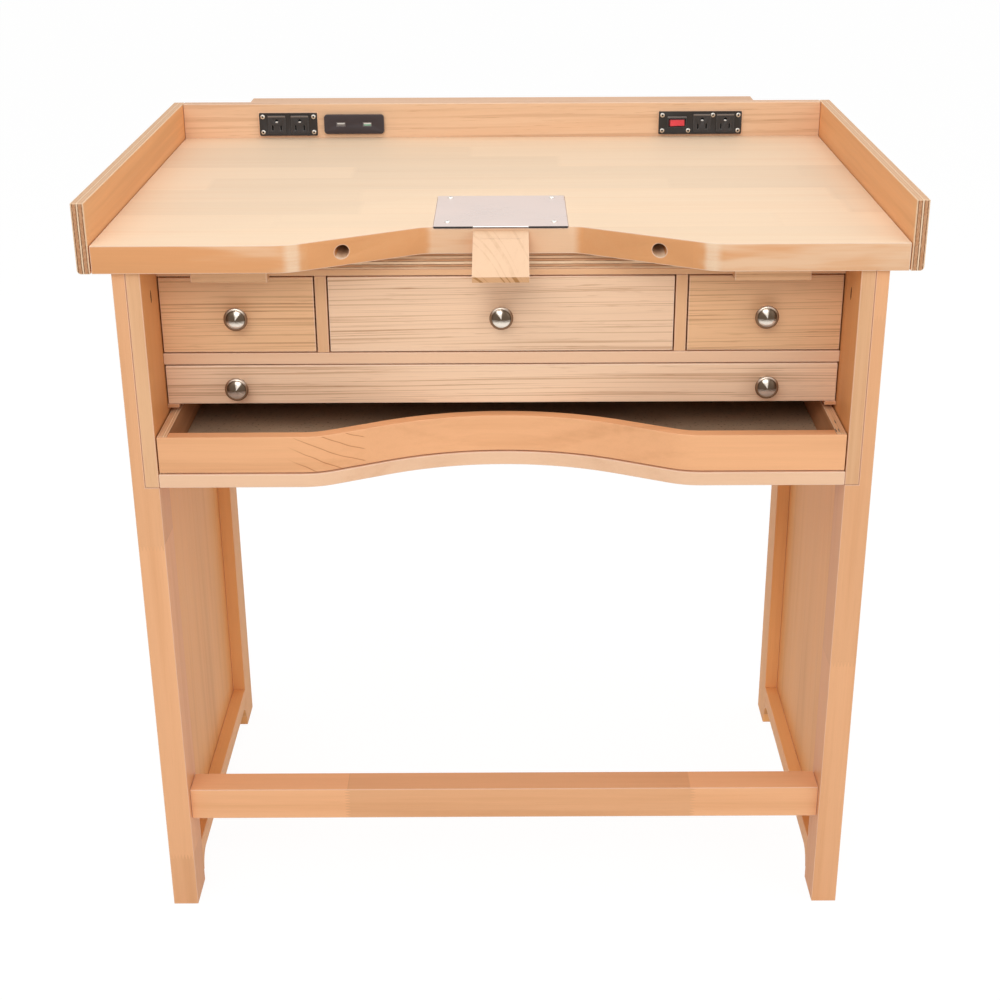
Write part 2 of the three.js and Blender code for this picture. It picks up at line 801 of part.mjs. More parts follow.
// A round bar that stands in the wiring box's floor.
function glandBar(diameter, [z0, z1]) {
  const bar = new THREE.CylinderGeometry(diameter / 2, diameter / 2, z1 - z0, roundSides);
  bar.rotateX(Math.PI / 2);
  return bar.translate(rightPlateOffset, galleryBack + wiringBoxDepth / 2, (z0 + z1) / 2);
}

// The box behind the back board, open towards it, with a hole in its floor for the gland.
function wiringBox() {
  const front = galleryBack + glueLine;
  const inner = wiringBoxHalf - wiringBoxWall;
  const floor = wiringBoxBottom + wiringBoxWall;
  const shell = block([-wiringBoxHalf, wiringBoxHalf], [front, wiringBoxBack], [wiringBoxBottom, galleryTop]);
  const hollow = block(
    [-inner, inner],
    [front - wiringBoxWall, wiringBoxBack - wiringBoxWall],
    [floor, galleryTop - wiringBoxWall],
  );
  const hole = glandBar(glandShank + 2 * glueLine, [wiringBoxBottom - wiringBoxWall, floor + wiringBoxWall]);
  return cut(shell, hollow, hole);
}

// A cord gland with its bore blanked off.
function gland() {
  const under = wiringBoxBottom - glueLine;
  const collar = glandBar(glandDiameter, [under - glandHeight, under]);
  const shank = glandBar(glandShank, [under - glandHeight / 2, wiringBoxBottom + wiringBoxWall]);
  return join(collar, shank);
}

function addPowerFittings() {
  const leftPlate = facePlate(
    -leftPlateOffset, leftPlateWidth, outletPlateHeight, outletPlateThickness, outletPlateRadius,
  );
  addPiece("left_outlet_plate", cut(leftPlate, ...socketHoles(-leftPlateOffset)), blackPlastic());
  addPiece("left_receptacle", receptacle(-leftPlateOffset), blackPlastic());
  addPiece("usb_plate", usbPlate(), blackPlastic());

  const rightPlate = facePlate(
    rightPlateOffset, rightPlateWidth, outletPlateHeight, outletPlateThickness, outletPlateRadius,
  );
  const rockerHole = block(
    [rockerOffset - rockerLength / 2 - rockerFit, rockerOffset + rockerLength / 2 + rockerFit],
    [plateFront - outletPlateThickness, worktopDepth + outletPlateThickness],
    [fittingHeight - rockerHeight / 2 - slideFit, fittingHeight + rockerHeight / 2 + slideFit],
  );
  const rightHoles = socketHoles(rightSocketsOffset);
  addPiece("right_outlet_plate", cut(rightPlate, ...rightHoles, rockerHole), blackPlastic());
  addPiece("right_receptacle", receptacle(rightSocketsOffset), blackPlastic());
  const paddle = addPiece("rocker_switch", rocker(), redPlastic());
  paddle.position.set(rockerOffset, plateFront, fittingHeight);
  paddle.rotation.z = THREE.MathUtils.degToRad(rockerTilt);

  addPiece("wiring_box", wiringBox(), plyWood());
  addPiece("cord_gland", gland(), blackPlastic());
}

// Assembly
addPiece("worktop_panel", worktopPanel(), paleWood());
addPair("front_board", frontBoard(), paleWood);
addPair("gallery_board", galleryBoard(), plyWood);
addPiece("back_board", backBoard(), paleWood());
addPiece("bench_plate", benchPlate(), steel());
addPiece("bench_pin", benchPin(), paleWood());
addPowerFittings();
addCabinet();
addPair("armrest", armrest(), frameWood);
addDrawers();
addTray();
addPair("front_leg", leg(frameFront, frameFront + legDepth), frameWood);
addPair("rear_leg", leg(frameBack - legDepth, frameBack - legDepth), frameWood);
addPair("side_panel", sidePanel(), frameWood);
addPair("lower_rail", lowerRail(), frameWood);
addPiece("front_stretcher", stretcher(), frameWood());

const part = new THREE.Group();
part.add(bench);
export default part;
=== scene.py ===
"""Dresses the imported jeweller's bench: eased boards, small fittings, finishes and a plain studio."""

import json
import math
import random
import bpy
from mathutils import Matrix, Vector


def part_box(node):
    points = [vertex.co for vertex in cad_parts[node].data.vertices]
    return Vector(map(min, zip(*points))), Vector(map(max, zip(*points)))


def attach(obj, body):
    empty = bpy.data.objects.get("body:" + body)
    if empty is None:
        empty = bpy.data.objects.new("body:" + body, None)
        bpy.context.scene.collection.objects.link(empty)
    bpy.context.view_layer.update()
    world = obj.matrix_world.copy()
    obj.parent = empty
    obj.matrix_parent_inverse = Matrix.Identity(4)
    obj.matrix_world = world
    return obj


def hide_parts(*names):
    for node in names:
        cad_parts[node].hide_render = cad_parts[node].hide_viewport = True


bl_info = {
    "name": "Jeweller's bench",
    "version": (1, 0, 0),
    "blender": (4, 5, 0),
    "location": "3D View > Sidebar > Bench",
    "description": "Dresses a jeweller's bench with eased boards, fittings and finishes",
    "category": "Object",
}

import bmesh
import bpy
from bpy.props import FloatProperty, FloatVectorProperty, PointerProperty
from mathutils import Matrix, Vector

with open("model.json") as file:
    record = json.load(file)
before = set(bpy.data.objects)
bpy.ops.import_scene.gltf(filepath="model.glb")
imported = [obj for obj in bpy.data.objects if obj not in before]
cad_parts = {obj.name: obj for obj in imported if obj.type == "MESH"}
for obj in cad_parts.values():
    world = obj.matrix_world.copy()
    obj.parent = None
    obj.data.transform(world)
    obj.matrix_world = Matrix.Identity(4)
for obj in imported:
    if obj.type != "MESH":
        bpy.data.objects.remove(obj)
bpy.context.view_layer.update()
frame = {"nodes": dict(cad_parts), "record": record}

MM = 0.001
BODY_OF = {node: body for body, nodes in frame["record"]["behaviour"]["bodies"].items() for node in nodes}
SLOT_OF = {part["node"]: part["material_slot"] for part in frame["record"]["subparts"]}

# Worktop, in metres: the cut-out of its front, the plate's bed, the pin's mortise and the mandrel holes
CUTOUT_HALF = 0.252
CUTOUT_BACK_HALF = 0.094
CUTOUT_CORNER = 0.07
CUTOUT_BACK_CORNER = 0.038
BED_GAP = 0.0003
MORTISE_HALF = 0.0253
MORTISE_HEIGHTS = (0.9121, 0.9309)
MORTISE_START = 0.02
MORTISE_SPARE = 0.001
BORE_OFFSET = 0.19
BORE_RADIUS = 0.00825
BORE_DEPTH = 0.124
BORE_MIDDLE = 0.034

# Colour of the worktop's front edge: bands of X, or of the distance from the cut-out's middle
CUTOUT_MIDDLE = 0.002
SLOPE_START = (0.085, 0.098)
SLOPE_END = (0.228, 0.25)
LEFT_WING = (-0.28, -0.46)
RIGHT_WING = (0.24, 0.27)
# Band of the painted highlight on the cut-out's rounded corners
CORNER_PAINTED_HIGHLIGHT = (0.236, 0.244, 0.25, 0.262)

# Finger joints and slanting rings of the wood, in metres
FINGER_BLOCK = 0.47
FINGER_WIDTH = 0.0022
FINGER_LENGTH = 0.009
FINGER_LINE = 0.0016
LEG_JOINTS = {"left": 0.552, "right": 0.38}
RING_STRETCH = (-0.27, -0.24, -0.175, -0.17)
RING_TOP = (0.6955, 0.6965)
# Where painted shade darkens the back of the tray's liner, under the drawers
LINER_SHADE = (-0.2, -0.11)

# Small fittings: corners of blocks in millimetres about the middle of the piece that they belong to
ROCKER_FRAME = ((-14.6, -0.9, -7.5), (14.6, 0.0, 7.5))
ROCKER_WINDOW = ((-13.2, -3.0, -6.1), (13.2, 3.0, 6.1))
ROCKER_LIP = ((-14.6, -0.8, 8.1), (14.6, 0.0, 9.5))
SOCKET_LIP = ((-13.2, -1.1, -2.6), (13.2, 1.0, -0.2))
SOCKET_LIP_EDGE = 1 * MM
SOCKET_LIP_FLUSH = 0.05 * MM
# The spring in a socket's ground hole, which is white as a painted glint
SOCKET_SPRING_GLINT = ((-1.7, -0.1, 2.9), (1.7, 4.0, 4.6))
USB_TONGUE = ((-5.6, 0.8, 0.1), (5.6, 9.0, 1.9))
USB_FLOOR = ((-5.6, 0.8, -2.1), (5.6, 9.0, -0.3))
USB_SHELL = (6.6 * MM, 2.9 * MM)
USB_ROOM = (5.9 * MM, 2.2 * MM)
USB_DEPTH = 8 * MM
USB_SINK = 0.4 * MM
USB_OFFSET = 20 * MM
SOCKET_OFFSET = 17.5 * MM
MARGIN_RINGS = ((1.7, 0.0), (1.7, 0.5), (0.0, 0.9), (0.0, 0.0))
LONG_PLATE_SCREWS = ((45 * MM, 0), (82 * MM, 1))
PLATE_SCREW_ROWS = (("front", 8 * MM), ("back", 6 * MM))
BOLT_PLACE = (-0.288, 0.863)
BOLT_STRETCH = (0.2, 0.22, 1.1)
STAPLES = ((0.4196, -0.293), (0.4154, -0.3228), (0.4188, -0.3223))
STAPLE_HALF = 0.5 * MM
STAPLE_SUNK = 0.4 * MM
STAPLE_PROUD = 0.35 * MM
STAPLE_EASE = 0.2 * MM
BOX_BACK = 13 * MM

# Half outline of a knob: radius and height in millimetres
KNOB_OUTLINE = (
    *((0.0, 0.0), (9.0, 0.0), (9.0, 1.6), (8.6, 2.0), (7.2, 2.5), (6.3, 4.0), (6.0, 7.0), (6.3, 10.0)),
    *((7.6, 13.0), (10.0, 15.2), (13.4, 16.2), (14.6, 16.8), (15.0, 17.8), (14.8, 19.0), (14.0, 20.0)),
    *((12.9, 20.5), (12.2, 20.3), (11.8, 19.9), (11.3, 20.9), (10.2, 21.6), (7.6, 22.7), (4.6, 23.5)),
    *((2.0, 23.9), (0.0, 24.0)),
)
KNOB_RADIUS = 0.015
KNOB_RIM = (0.0112, 0.0122)

SCREW_STEPS = 20
KNOB_STEPS = 48

# Meshes: angles that count as sharp, smooth or flat, shares of a normal, and distances that weld
SHARP_ANGLE = math.radians(25)
SMOOTH_ANGLE = math.radians(24)
FLAT_ANGLE = math.radians(0.4)
END_GRAIN = 0.75
CUT_EDGE = 0.6
FACES_FRONT = 0.3
FLAT_FRONT = 0.95
WELD = 1e-6
FINE_WELD = 1e-7

# Stage: name, place, target, size and power of each lamp, and the camera as fitted to the photo
LAMPS = (
    ("key", (-1.2, -2.6, 3.2), (0.0, 0.0, 0.6), 2.4, 26.0),
    ("front", (-0.2, -3.3, 2.6), (0.0, 0.0, 0.5), 1.6, 28.0),
    ("fill", (2.6, -2.0, 1.8), (0.0, 0.0, 0.5), 2.4, 17.0),
    ("top", (0.2, 0.4, 3.4), (0.0, 0.0, 0.9), 3.0, 30.0),
)
WORLD_LIGHT = 0.48
FLOOR_HALF = 30.0
FLOOR_DROP = 0.0005
FLOOR_GLOW = 1.05
GLOW_SHARE = 0.9
LENS = 60.35
SENSOR = 36.0
LENS_SHIFT = -0.01172
CAMERA_PLACE = (0.0106, -2.27044, 1.43998)
PITCH = math.radians(23.20)
ROLL = math.radians(-0.24)
YAW = math.radians(0.04)


def srgb(code):
    """A colour as picked on a screen, in Blender's linear red, green and blue."""
    parts = [int(code[i : i + 2], 16) / 255 for i in (0, 2, 4)]
    return tuple(p / 12.92 if p <= 0.04045 else ((p + 0.055) / 1.055) ** 2.4 for p in parts)


def colour(name, description, code):
    return FloatVectorProperty(
        name=name, description=description, subtype="COLOR", size=3, min=0.0, max=1.0, default=srgb(code)
    )


def length(name, description, millimetres):
    default = millimetres * MM
    return FloatProperty(name=name, description=description, subtype="DISTANCE", min=0.0, default=default)


class BenchColours(bpy.types.PropertyGroup):
    """Colours of the bench's finishes."""

    worktop: colour("Worktop", "Pale wood of the worktop", "EACFB1")
    worktop_line: colour("Worktop grain", "Grain lines of the worktop", "DDAE82")
    worktop_edge: colour("Worktop edge", "Sawn slopes of the worktop's front edge", "D89B68")
    warm_edge: colour("Warm worktop edge", "Warmer blocks in the worktop's front edge", "D89A68")
    pale_edge: colour("Pale worktop edge", "Paler blocks in the worktop's front edge", "E4BC98")
    back: colour("Back board", "Wood of the back board and the wiring box", "E9C29E")
    back_line: colour("Back board grain", "Grain lines of the back board", "A8744A")
    back_edge: colour("Back board edge", "Cut edges of the back board", "D4A884")
    frame: colour("Frame", "Wood of the front legs, the stretcher and the runners", "E8AF82")
    frame_line: colour("Frame grain", "Grain lines of the frame", "C98A58")
    # A darker, more orange copy of the frame wood: painted coloured shade for the boards inside the cabinet
    inner: colour("Cabinet sides", "Wood of the cabinet's sides", "E4A268")
    inner_edge: colour("Cabinet edges", "Front edges of the boards inside the cabinet", "E4B58B")
    inner_line: colour("Cabinet side grain", "Grain lines of the cabinet's sides", "BE7E4C")
    # Paler than the frame wood: painted light for the rear legs, side panels and lower rails, which sit in
    # shade under the bench
    panel: colour("Side panels", "Wood of the panels between the legs", "F2B87C")
    drawer: colour("Drawer", "Wood of the middle and wide drawer fronts", "F0CBAA")
    drawer_line: colour("Drawer grain", "Grain lines of the drawer fronts", "A8764D")
    # A darker, oranger copy of the drawer wood: painted shade for the side drawers, which the cabinet's
    # sides shadow
    side_drawer: colour("Side drawer", "Wood of the left and right drawer fronts", "E9BA8E")
    tray: colour("Tray front", "Wood of the catch tray's front", "ECB080")
    tray_line: colour("Tray grain", "Grain lines of the catch tray's front", "B87646")
    bottom: colour("Cabinet bottom", "Wood of the cabinet's bottom and shelf", "EDC3A0")
    bottom_line: colour("Cabinet bottom grain", "Grain lines of the cabinet's bottom", "CF9A70")
    pin: colour("Bench pin", "Wood of the bench pin", "EDC6A2")
    pin_line: colour("Bench pin grain", "Grain lines of the bench pin", "B07C48")
    pin_edge: colour("Bench pin edge", "Sides of the bench pin", "DDAA7C")
    ply_face: colour("Plywood face", "Face veneer of the plywood", "F0B27A")
    ply_line: colour("Plywood grain", "Streaks of the face veneer", "E0A26C")
    ply_edge: colour("Plywood edge", "Long cut edges of the plywood", "E6BC94")
    ply_light: colour("Plywood light ply", "Plies cut along the grain", "F4D8B6")
    ply_dark: colour("Plywood dark ply", "Plies cut across the grain", "B98158")
    glue: colour("Plywood glue", "Glue lines between the plies", "6B4426")
    # A darker copy of the plywood: painted shade on the tray's walls under the cabinet
    tray_ply_shaded: colour("Tray plywood", "Plywood of the catch tray's box", "B8825A")
    tray_ply_shaded_line: colour("Tray plywood grain", "Streaks of the tray's plywood", "9A6A44")
    plate: colour("Bench plate", "Steel of the bench plate", "E0CEC6")
    # Painted shadow under the plate's front edge beside the pin, and painted half-shade above the pin
    plate_shadow: colour("Plate shadow", "Front edge of the plate beside the pin", "1E1615")
    plate_edge: colour("Plate edge", "Front edge of the plate above the pin", "807A78")
    # The knobs' colours are painted reflections: the bright and dark sectors of the fan, and the wood in the
    # rims
    nickel: colour("Knobs", "Brushed nickel of the knobs", "F2E8DA")
    nickel_painted_dark_reflection: colour("Dark knobs", "The dark rays of the brushed knobs", "5A4938")
    nickel_rim_painted_reflection: colour("Knob rims", "The rims of the knobs", "806046")
    # The liner's colour is painted pale, for light that doesn't reach it under the drawers
    liner: colour("Tray liner", "Sheet metal in the catch tray", "C2AA8E")
    liner_rust: colour("Liner rust", "Rust on the liner", "8A5C38")
    liner_specks: colour("Liner specks", "Filings on the liner", "3A2F26")
    # Painted shade at the back of the liner, under the drawers
    liner_painted_shade: colour("Liner dirt", "Dirt at the back of the liner", "2A1F16")
    plastic: colour("Plastic", "Black plastic of the power fittings", "1D1A1A")
    usb: colour("USB plate", "Plastic of the USB plate", "332B30")
    socket: colour("Sockets", "Plastic of the sockets", "2B2828")
    lip: colour("Lips", "Paler lips of the sockets and the switch", "7A7472")
    switch: colour("Switch", "Red rocker of the power switch", "E0434F")
    switch_edge: colour("Switch edge", "Edges of the rocker", "5A1016")
    # Near-black painted shade for the recesses of the outlet screws and connector bolts
    hole: colour("Holes", "Recesses of the screws", "0B0909")
    tongue: colour("Tongues", "White tongues of the ports and sockets", "E4E4E0")
    tongue_green: colour("Green tongue", "Green floor of the right port", "7FB59B")
    screw: colour("Screws", "Bright steel of the small screws", "D9D4CC")
    dark_steel: colour("Dark steel", "Blackened steel of staples and connector bolts", "2A211B")
    floor: colour("Floor", "The studio floor", "F4F3F1")


class BenchSizes(bpy.types.PropertyGroup):
    """Sizes of the details that the scene adds."""

    board_ease: length("Board ease", "Rounding of the edges of boards", 1.2)
    armrest_ease: length("Armrest ease", "Rounding of the edges of the armrests", 1.6)
    fine_ease: length("Fine ease", "Rounding of the edges of boxes, the shelf and the pin", 0.8)
    inner_ease: length("Inner ease", "Rounding of the cabinet's top and back", 0.6)
    thin_ease: length("Thin ease", "Rounding of the edges of spacers and runners", 0.5)
    sheet_ease: length("Sheet ease", "Rounding of the edges of sheets", 0.4)
    plastic_ease: length("Plastic ease", "Rounding of the edges of plastic parts", 0.5)
    rocker_ease: length("Rocker ease", "Rounding of the edges of the rocker", 1.1)
    ply: length("Plies", "Thickness of a dark and a light ply together", 7.0)
    ring_slant: length("Slanting rings", "Spacing of the slanting rings in the tray front", 16.0)
    tray_gap: length("Tray gap", "Under the tray front", 1.6)
    end_gap: length("End gap", "Between the worktop and the gallery boards", 0.9)
    plate_screw: length("Plate screws", "Diameter of the bench plate's screws", 8.0)
    plate_screw_inset: length("Plate screw inset", "From the plate's edge to a screw", 16.5)
    outlet_screw: length("Outlet screws", "Diameter of the outlet plates' screws", 7.0)
    outlet_screw_inset: length("Outlet screw inset", "From the outlet plate's edge to a screw", 5.4)
    bolt: length("Connector bolts", "Diameter of the connector bolts' caps", 15.0)
    staple: length("Staples", "Length of the staples in the tray's sides", 10.0)


def colours():
    return bpy.context.scene.bench_colours


def sizes():
    return bpy.context.scene.bench_sizes


# Finishes

FINISHES = {}


class Value:
    """A socket in a finish. Sums on it add Math nodes."""

    def __init__(self, finish, socket):
        self.finish = finish
        self.socket = socket

    def math(self, operation, *terms):
        return self.finish.node("ShaderNodeMath", {"operation": operation}, dict(enumerate(terms)))

    def __add__(self, other):
        return self.math("ADD", self, other)

    def __radd__(self, other):
        return self.math("ADD", other, self)

    def __sub__(self, other):
        return self.math("SUBTRACT", self, other)

    def __rsub__(self, other):
        return self.math("SUBTRACT", other, self)

    def __mul__(self, other):
        return self.math("MULTIPLY", self, other)

    def __rmul__(self, other):
        return self.math("MULTIPLY", other, self)

    def __truediv__(self, other):
        return self.math("DIVIDE", self, other)

    def __rtruediv__(self, other):
        return self.math("DIVIDE", other, self)

    def __pow__(self, other):
        return self.math("POWER", self, other)

    def part(self):
        """What is left over whole numbers."""
        return self.math("FRACT", self)

    def whole(self):
        return self.math("FLOOR", self)

    def size(self):
        """The value without its sign."""
        return self.math("ABSOLUTE", self)

    def swing(self, reach):
        """Back and forth between 0 and reach."""
        return self.math("PINGPONG", self, reach)


class Finish:
    """A tree of nodes."""

    def __init__(self, tree):
        self.tree = tree

    def pick(self, sockets, key):
        if isinstance(key, int):
            return sockets[key]
        return next(s for s in sockets if key in (s.identifier, s.name))

    def feed(self, socket, value):
        if isinstance(value, Value):
            self.tree.links.new(value.socket, socket)
        elif socket.type == "RGBA":
            socket.default_value = (*value[:3], 1.0)
        else:
            socket.default_value = value

    def node(self, kind, settings=None, sockets=None, output=0):
        """A node of any kind: its settings, then the values or links of its sockets."""
        node = self.tree.nodes.new(kind)
        for key, value in (settings or {}).items():
            setattr(node, key, value)
        for key, value in (sockets or {}).items():
            self.feed(self.pick(node.inputs, key), value)
        return Value(self, self.pick(node.outputs, output))

    def attribute(self, name, output="Fac"):
        return self.node("ShaderNodeAttribute", {"attribute_name": name}, output=output)

    def place(self):
        return self.node("ShaderNodeTexCoord", output="Object")

    def vector(self, operation, first, second):
        sockets = {0: first, "Scale" if operation == "SCALE" else 1: second}
        return self.node("ShaderNodeVectorMath", {"operation": operation}, sockets)

    def split(self, vector):
        node = self.node("ShaderNodeSeparateXYZ", sockets={0: vector}).socket.node
        return [Value(self, socket) for socket in node.outputs]

    def join(self, x, y, z):
        return self.node("ShaderNodeCombineXYZ", sockets={0: x, 1: y, 2: z})

    def noise(self, place, stretch, detail=2.0, output="Fac"):
        sockets = {"Vector": self.vector("MULTIPLY", place, stretch), "Scale": 1.0, "Detail": detail}
        return self.node("ShaderNodeTexNoise", sockets=sockets, output=output)

    def chance(self, place):
        """A steady random number for each whole place."""
        return self.node("ShaderNodeTexWhiteNoise", sockets={"Vector": place}, output="Value")

    def smooth(self, value, low, high):
        sockets = {"Value": value, "From Min": low, "From Max": high}
        return self.node("ShaderNodeMapRange", {"interpolation_type": "SMOOTHSTEP"}, sockets)

    def band(self, value, low, full, still, gone):
        """1 between full and still, and 0 before low and after gone."""
        return self.smooth(value, low, full) * (1 - self.smooth(value, still, gone))

    def mix(self, first, second, factor):
        sockets = {"Factor_Float": factor, "A_Color": first, "B_Color": second}
        return self.node("ShaderNodeMix", {"data_type": "RGBA"}, sockets, "Result_Color")

    def bump(self, height, strength, distance):
        sockets = {"Height": height, "Strength": strength, "Distance": distance}
        return self.node("ShaderNodeBump", sockets=sockets)


class Surface(Finish):
    """A new material, kept under its name, with the nodes that feed its shader."""

    def __init__(self, name):
        self.material = FINISHES[name] = bpy.data.materials.new(f"bench_{name}")
        self.material.use_nodes = True
        super().__init__(self.material.node_tree)
        self.tree.nodes.clear()
        self.shader = self.tree.nodes.new("ShaderNodeBsdfPrincipled")
        self.output = self.tree.nodes.new("ShaderNodeOutputMaterial")
        self.tree.links.new(self.shader.outputs[0], self.output.inputs[0])

    def set(self, **sockets):
        for key, value in sockets.items():
            self.feed(self.pick(self.shader.inputs, key.replace("_", " ")), value)


def wood(
    name,
    early,
    late,
    gap,
    line,
    crisp=(0.44, 0.72),
    ends=0.3,
    sway=0.006,
    rough=0.46,
    gloss=0.25,
    pores=0.2,
    edge_wear_and_highlight=0.35,
    cloud=0.16,
    blocks=None,
    stave=None,
    edge=None,
    bold=None,
):
    """Sawn and varnished wood: growth rings cut by each face, streaks, pores, and paler eased edges that
    paint both wear and a highlight along the arrises.
    Gap is the rings' spacing and line their weight. Blocks is the length of finger-jointed blocks, and
    stave the width of a row of them. Edge colours the cut edges, and bold is the stretch along X in which
    a few slanting rings show."""
    finish = Surface(name)
    grain = finish.attribute("grain", "Vector")
    end = finish.attribute("end")
    tone = finish.attribute("tone")
    joint = 0.0
    if blocks:
        along, across, deep = finish.split(grain)
        fingers = (across / FINGER_WIDTH).swing(1.0) * FINGER_LENGTH
        row = (across / stave).whole() if stave else 0.0
        shift = finish.chance(finish.join(row, 0.5, 0.5)) * blocks if stave else 0.0
        run = (along + fingers + shift) / blocks
        pick = finish.chance(finish.join(run.whole(), row, 3.5))
        if not stave:
            pick = pick * 0.3 + (run.whole() / 2.0).part() * 1.4
        tone = tone + (pick - 0.5) * (0.08 if stave else 0.13)
        joint = (1 - finish.smooth(run.part(), 0.0, FINGER_LINE / blocks)) * 0.1
        grain = finish.join(along + pick * 7.0, across + pick * 0.05, deep + pick * 0.02)
    drift = finish.noise(grain, (1.6, 9.0, 9.0), output="Color")
    drift = finish.vector("SUBTRACT", drift, (0.5, 0.5, 0.5))
    bent = finish.vector("ADD", grain, finish.vector("MULTIPLY", drift, (0.0, sway, sway)))
    along, across, deep = finish.split(bent)
    radius = (across * across + deep * deep) ** 0.5
    bands = finish.noise(finish.join(radius, along, 0.0), (1.0 / gap, 1.8, 1.0), 2.0)
    ring = finish.smooth(bands, *crisp)
    streak = finish.noise(grain, (2.2, 150.0, 150.0), 3.0)
    fibre = finish.noise(grain, (16.0, 1000.0, 1000.0))
    broad = finish.noise(grain, (1.1, 16.0, 16.0))
    pore = finish.smooth(finish.noise(grain, (22.0, 620.0, 620.0)), 0.6, 0.74)
    weight = ring * (0.2 + streak * 1.3) * (line + end * ends) + pore * pores + (streak - 0.5) * 0.25
    if bold:
        x, y, z = finish.split(finish.place())
        wander = finish.noise(finish.join(x, y, z), (14.0, 14.0, 14.0), 2.0)
        slant = (z + x * 0.5 + (wander - 0.5) * 0.012) / sizes().ring_slant
        thin = 1 - finish.smooth((slant.part() - 0.5).size(), 0.02, 0.06)
        stretch = finish.band(x, *bold) * (1 - finish.smooth(z, *RING_TOP))
        weight = weight + thin * stretch * 0.7
    cut = finish.mix(early, edge(finish), finish.attribute("cut")) if edge else early
    base = finish.mix(cut, late, weight)
    level = 1 + tone + (broad - 0.5) * cloud + (fibre - 0.5) * 0.08 - end * 0.1 - joint
    base = finish.vector("SCALE", base, level)
    # Eased edges go paler: wear and a painted highlight along the arrises
    base = finish.mix(base, tuple(0.4 + 0.6 * c for c in early), finish.attribute("wear_and_highlight") * edge_wear_and_highlight)
    height = fibre * 0.5 + ring * 0.3 - pore * 0.4
    finish.set(
        Specular_IOR_Level=gloss,
        Base_Color=base,
        Roughness=rough + (fibre - 0.5) * 0.18 + (streak - 0.5) * 0.1,
        Normal=finish.bump(height, 0.2, 0.0003),
    )


def worktop_front(finish):
    """Colour of the worktop's front edge: orange on the slopes of the cut-out, mottled and paler on the
    wings and in the middle, with a streaked painted highlight on the rounded corners."""
    tint = colours()
    place = finish.place()
    x = finish.split(place)[0]
    reach = (x - CUTOUT_MIDDLE).size()
    slope = finish.band(reach, *SLOPE_START, *SLOPE_END)
    mottles = finish.noise(place, (5.0, 9.0, 45.0), 3.0) + finish.smooth(x, *LEFT_WING) * 0.22
    mottles = mottles - (1 - finish.smooth(reach, *SLOPE_START)) * 0.15
    mottles = mottles - finish.smooth(x, *RIGHT_WING) * 0.06
    blocks = finish.mix(tint.pale_edge, tint.warm_edge, finish.smooth(mottles, 0.38, 0.64))
    base = finish.mix(blocks, tint.worktop_edge, slope)
    streaks = finish.noise(place, (20.0, 20.0, 420.0), 2.0)
    # Painted highlight: the top's pale colour, streaked, in a band on the rounded corners
    return finish.mix(base, tint.worktop, finish.band(reach, *CORNER_PAINTED_HIGHLIGHT) * (0.35 + streaks * 0.7))


def plywood(name, early, late, contrast=0.4, core=0.1):
    """Plywood: a face veneer, and on the cut edges uneven plies with glue lines between. Contrast is how
    far the plies show along the grain, and core half the share of a light ply."""
    tint = colours()
    finish = Surface(name)
    grain = finish.attribute("grain", "Vector")
    deep = finish.split(grain)[2]
    streak = finish.noise(grain, (1.6, 70.0, 4.0), 3.0)
    fibre = finish.noise(grain, (14.0, 900.0, 900.0))
    face = finish.mix(early, late, finish.smooth(streak, 0.35, 0.75) * 0.7)
    tone = finish.attribute("tone")
    end = finish.attribute("end")
    ragged = finish.noise(grain, (60.0, 60.0, 0.0), 3.0)
    layer = deep / sizes().ply + (0.37 + (ragged - 0.5) * 0.12)
    off = (layer.part() - 0.5).size()
    inmost = 1 - (layer.whole() - 1).size() * 0.5
    light = (1 - finish.smooth(off, core, core + 0.05)) * inmost * (0.3 + ragged)
    glue = finish.band(off, core, core + 0.05, core + 0.1, core + 0.17)
    specks = finish.noise(grain, (30.0, 260.0, 900.0), 3.0)
    plies = finish.mix(tint.ply_light, tint.ply_dark, (1 - light) * (0.4 + specks))
    plies = finish.mix(plies, tint.glue, glue * finish.smooth(ragged + specks, 0.65, 1.0))
    plies = finish.mix(tint.ply_edge, plies, contrast + end * (1 - contrast))
    base = finish.mix(face, plies, finish.attribute("cut"))
    base = finish.vector("SCALE", base, 1 + tone + (fibre - 0.5) * 0.14)
    finish.set(
        Specular_IOR_Level=0.25,
        # Eased edges go paler: wear and a painted highlight
        Base_Color=finish.mix(base, tint.ply_light, finish.attribute("wear_and_highlight") * 0.4),
        Roughness=0.55 + (fibre - 0.5) * 0.2,
        Normal=finish.bump(fibre + glue * -0.5, 0.25, 0.0003),
    )


def metal(name, base, rough, brush, spots=0.15):
    """Brushed or rolled metal: fine scratches along one way, soft stains, and brighter eased edges for wear
    and highlight.
    """
    finish = Surface(name)
    place = finish.place()
    scratches = finish.noise(place, brush, 3.0)
    stains = finish.noise(place, (14.0, 14.0, 14.0), 4.0)
    tinted = finish.vector("SCALE", base, 1 + (stains - 0.5) * spots + (scratches - 0.5) * 0.12)
    finish.set(
        Metallic=1.0,
        Base_Color=finish.mix(tinted, (1.0, 1.0, 1.0), finish.attribute("wear_and_highlight") * 0.35),
        Roughness=rough + (stains - 0.5) * 0.15 + (scratches - 0.5) * 0.12,
        Normal=finish.bump(scratches, 0.06, 0.0002),
    )


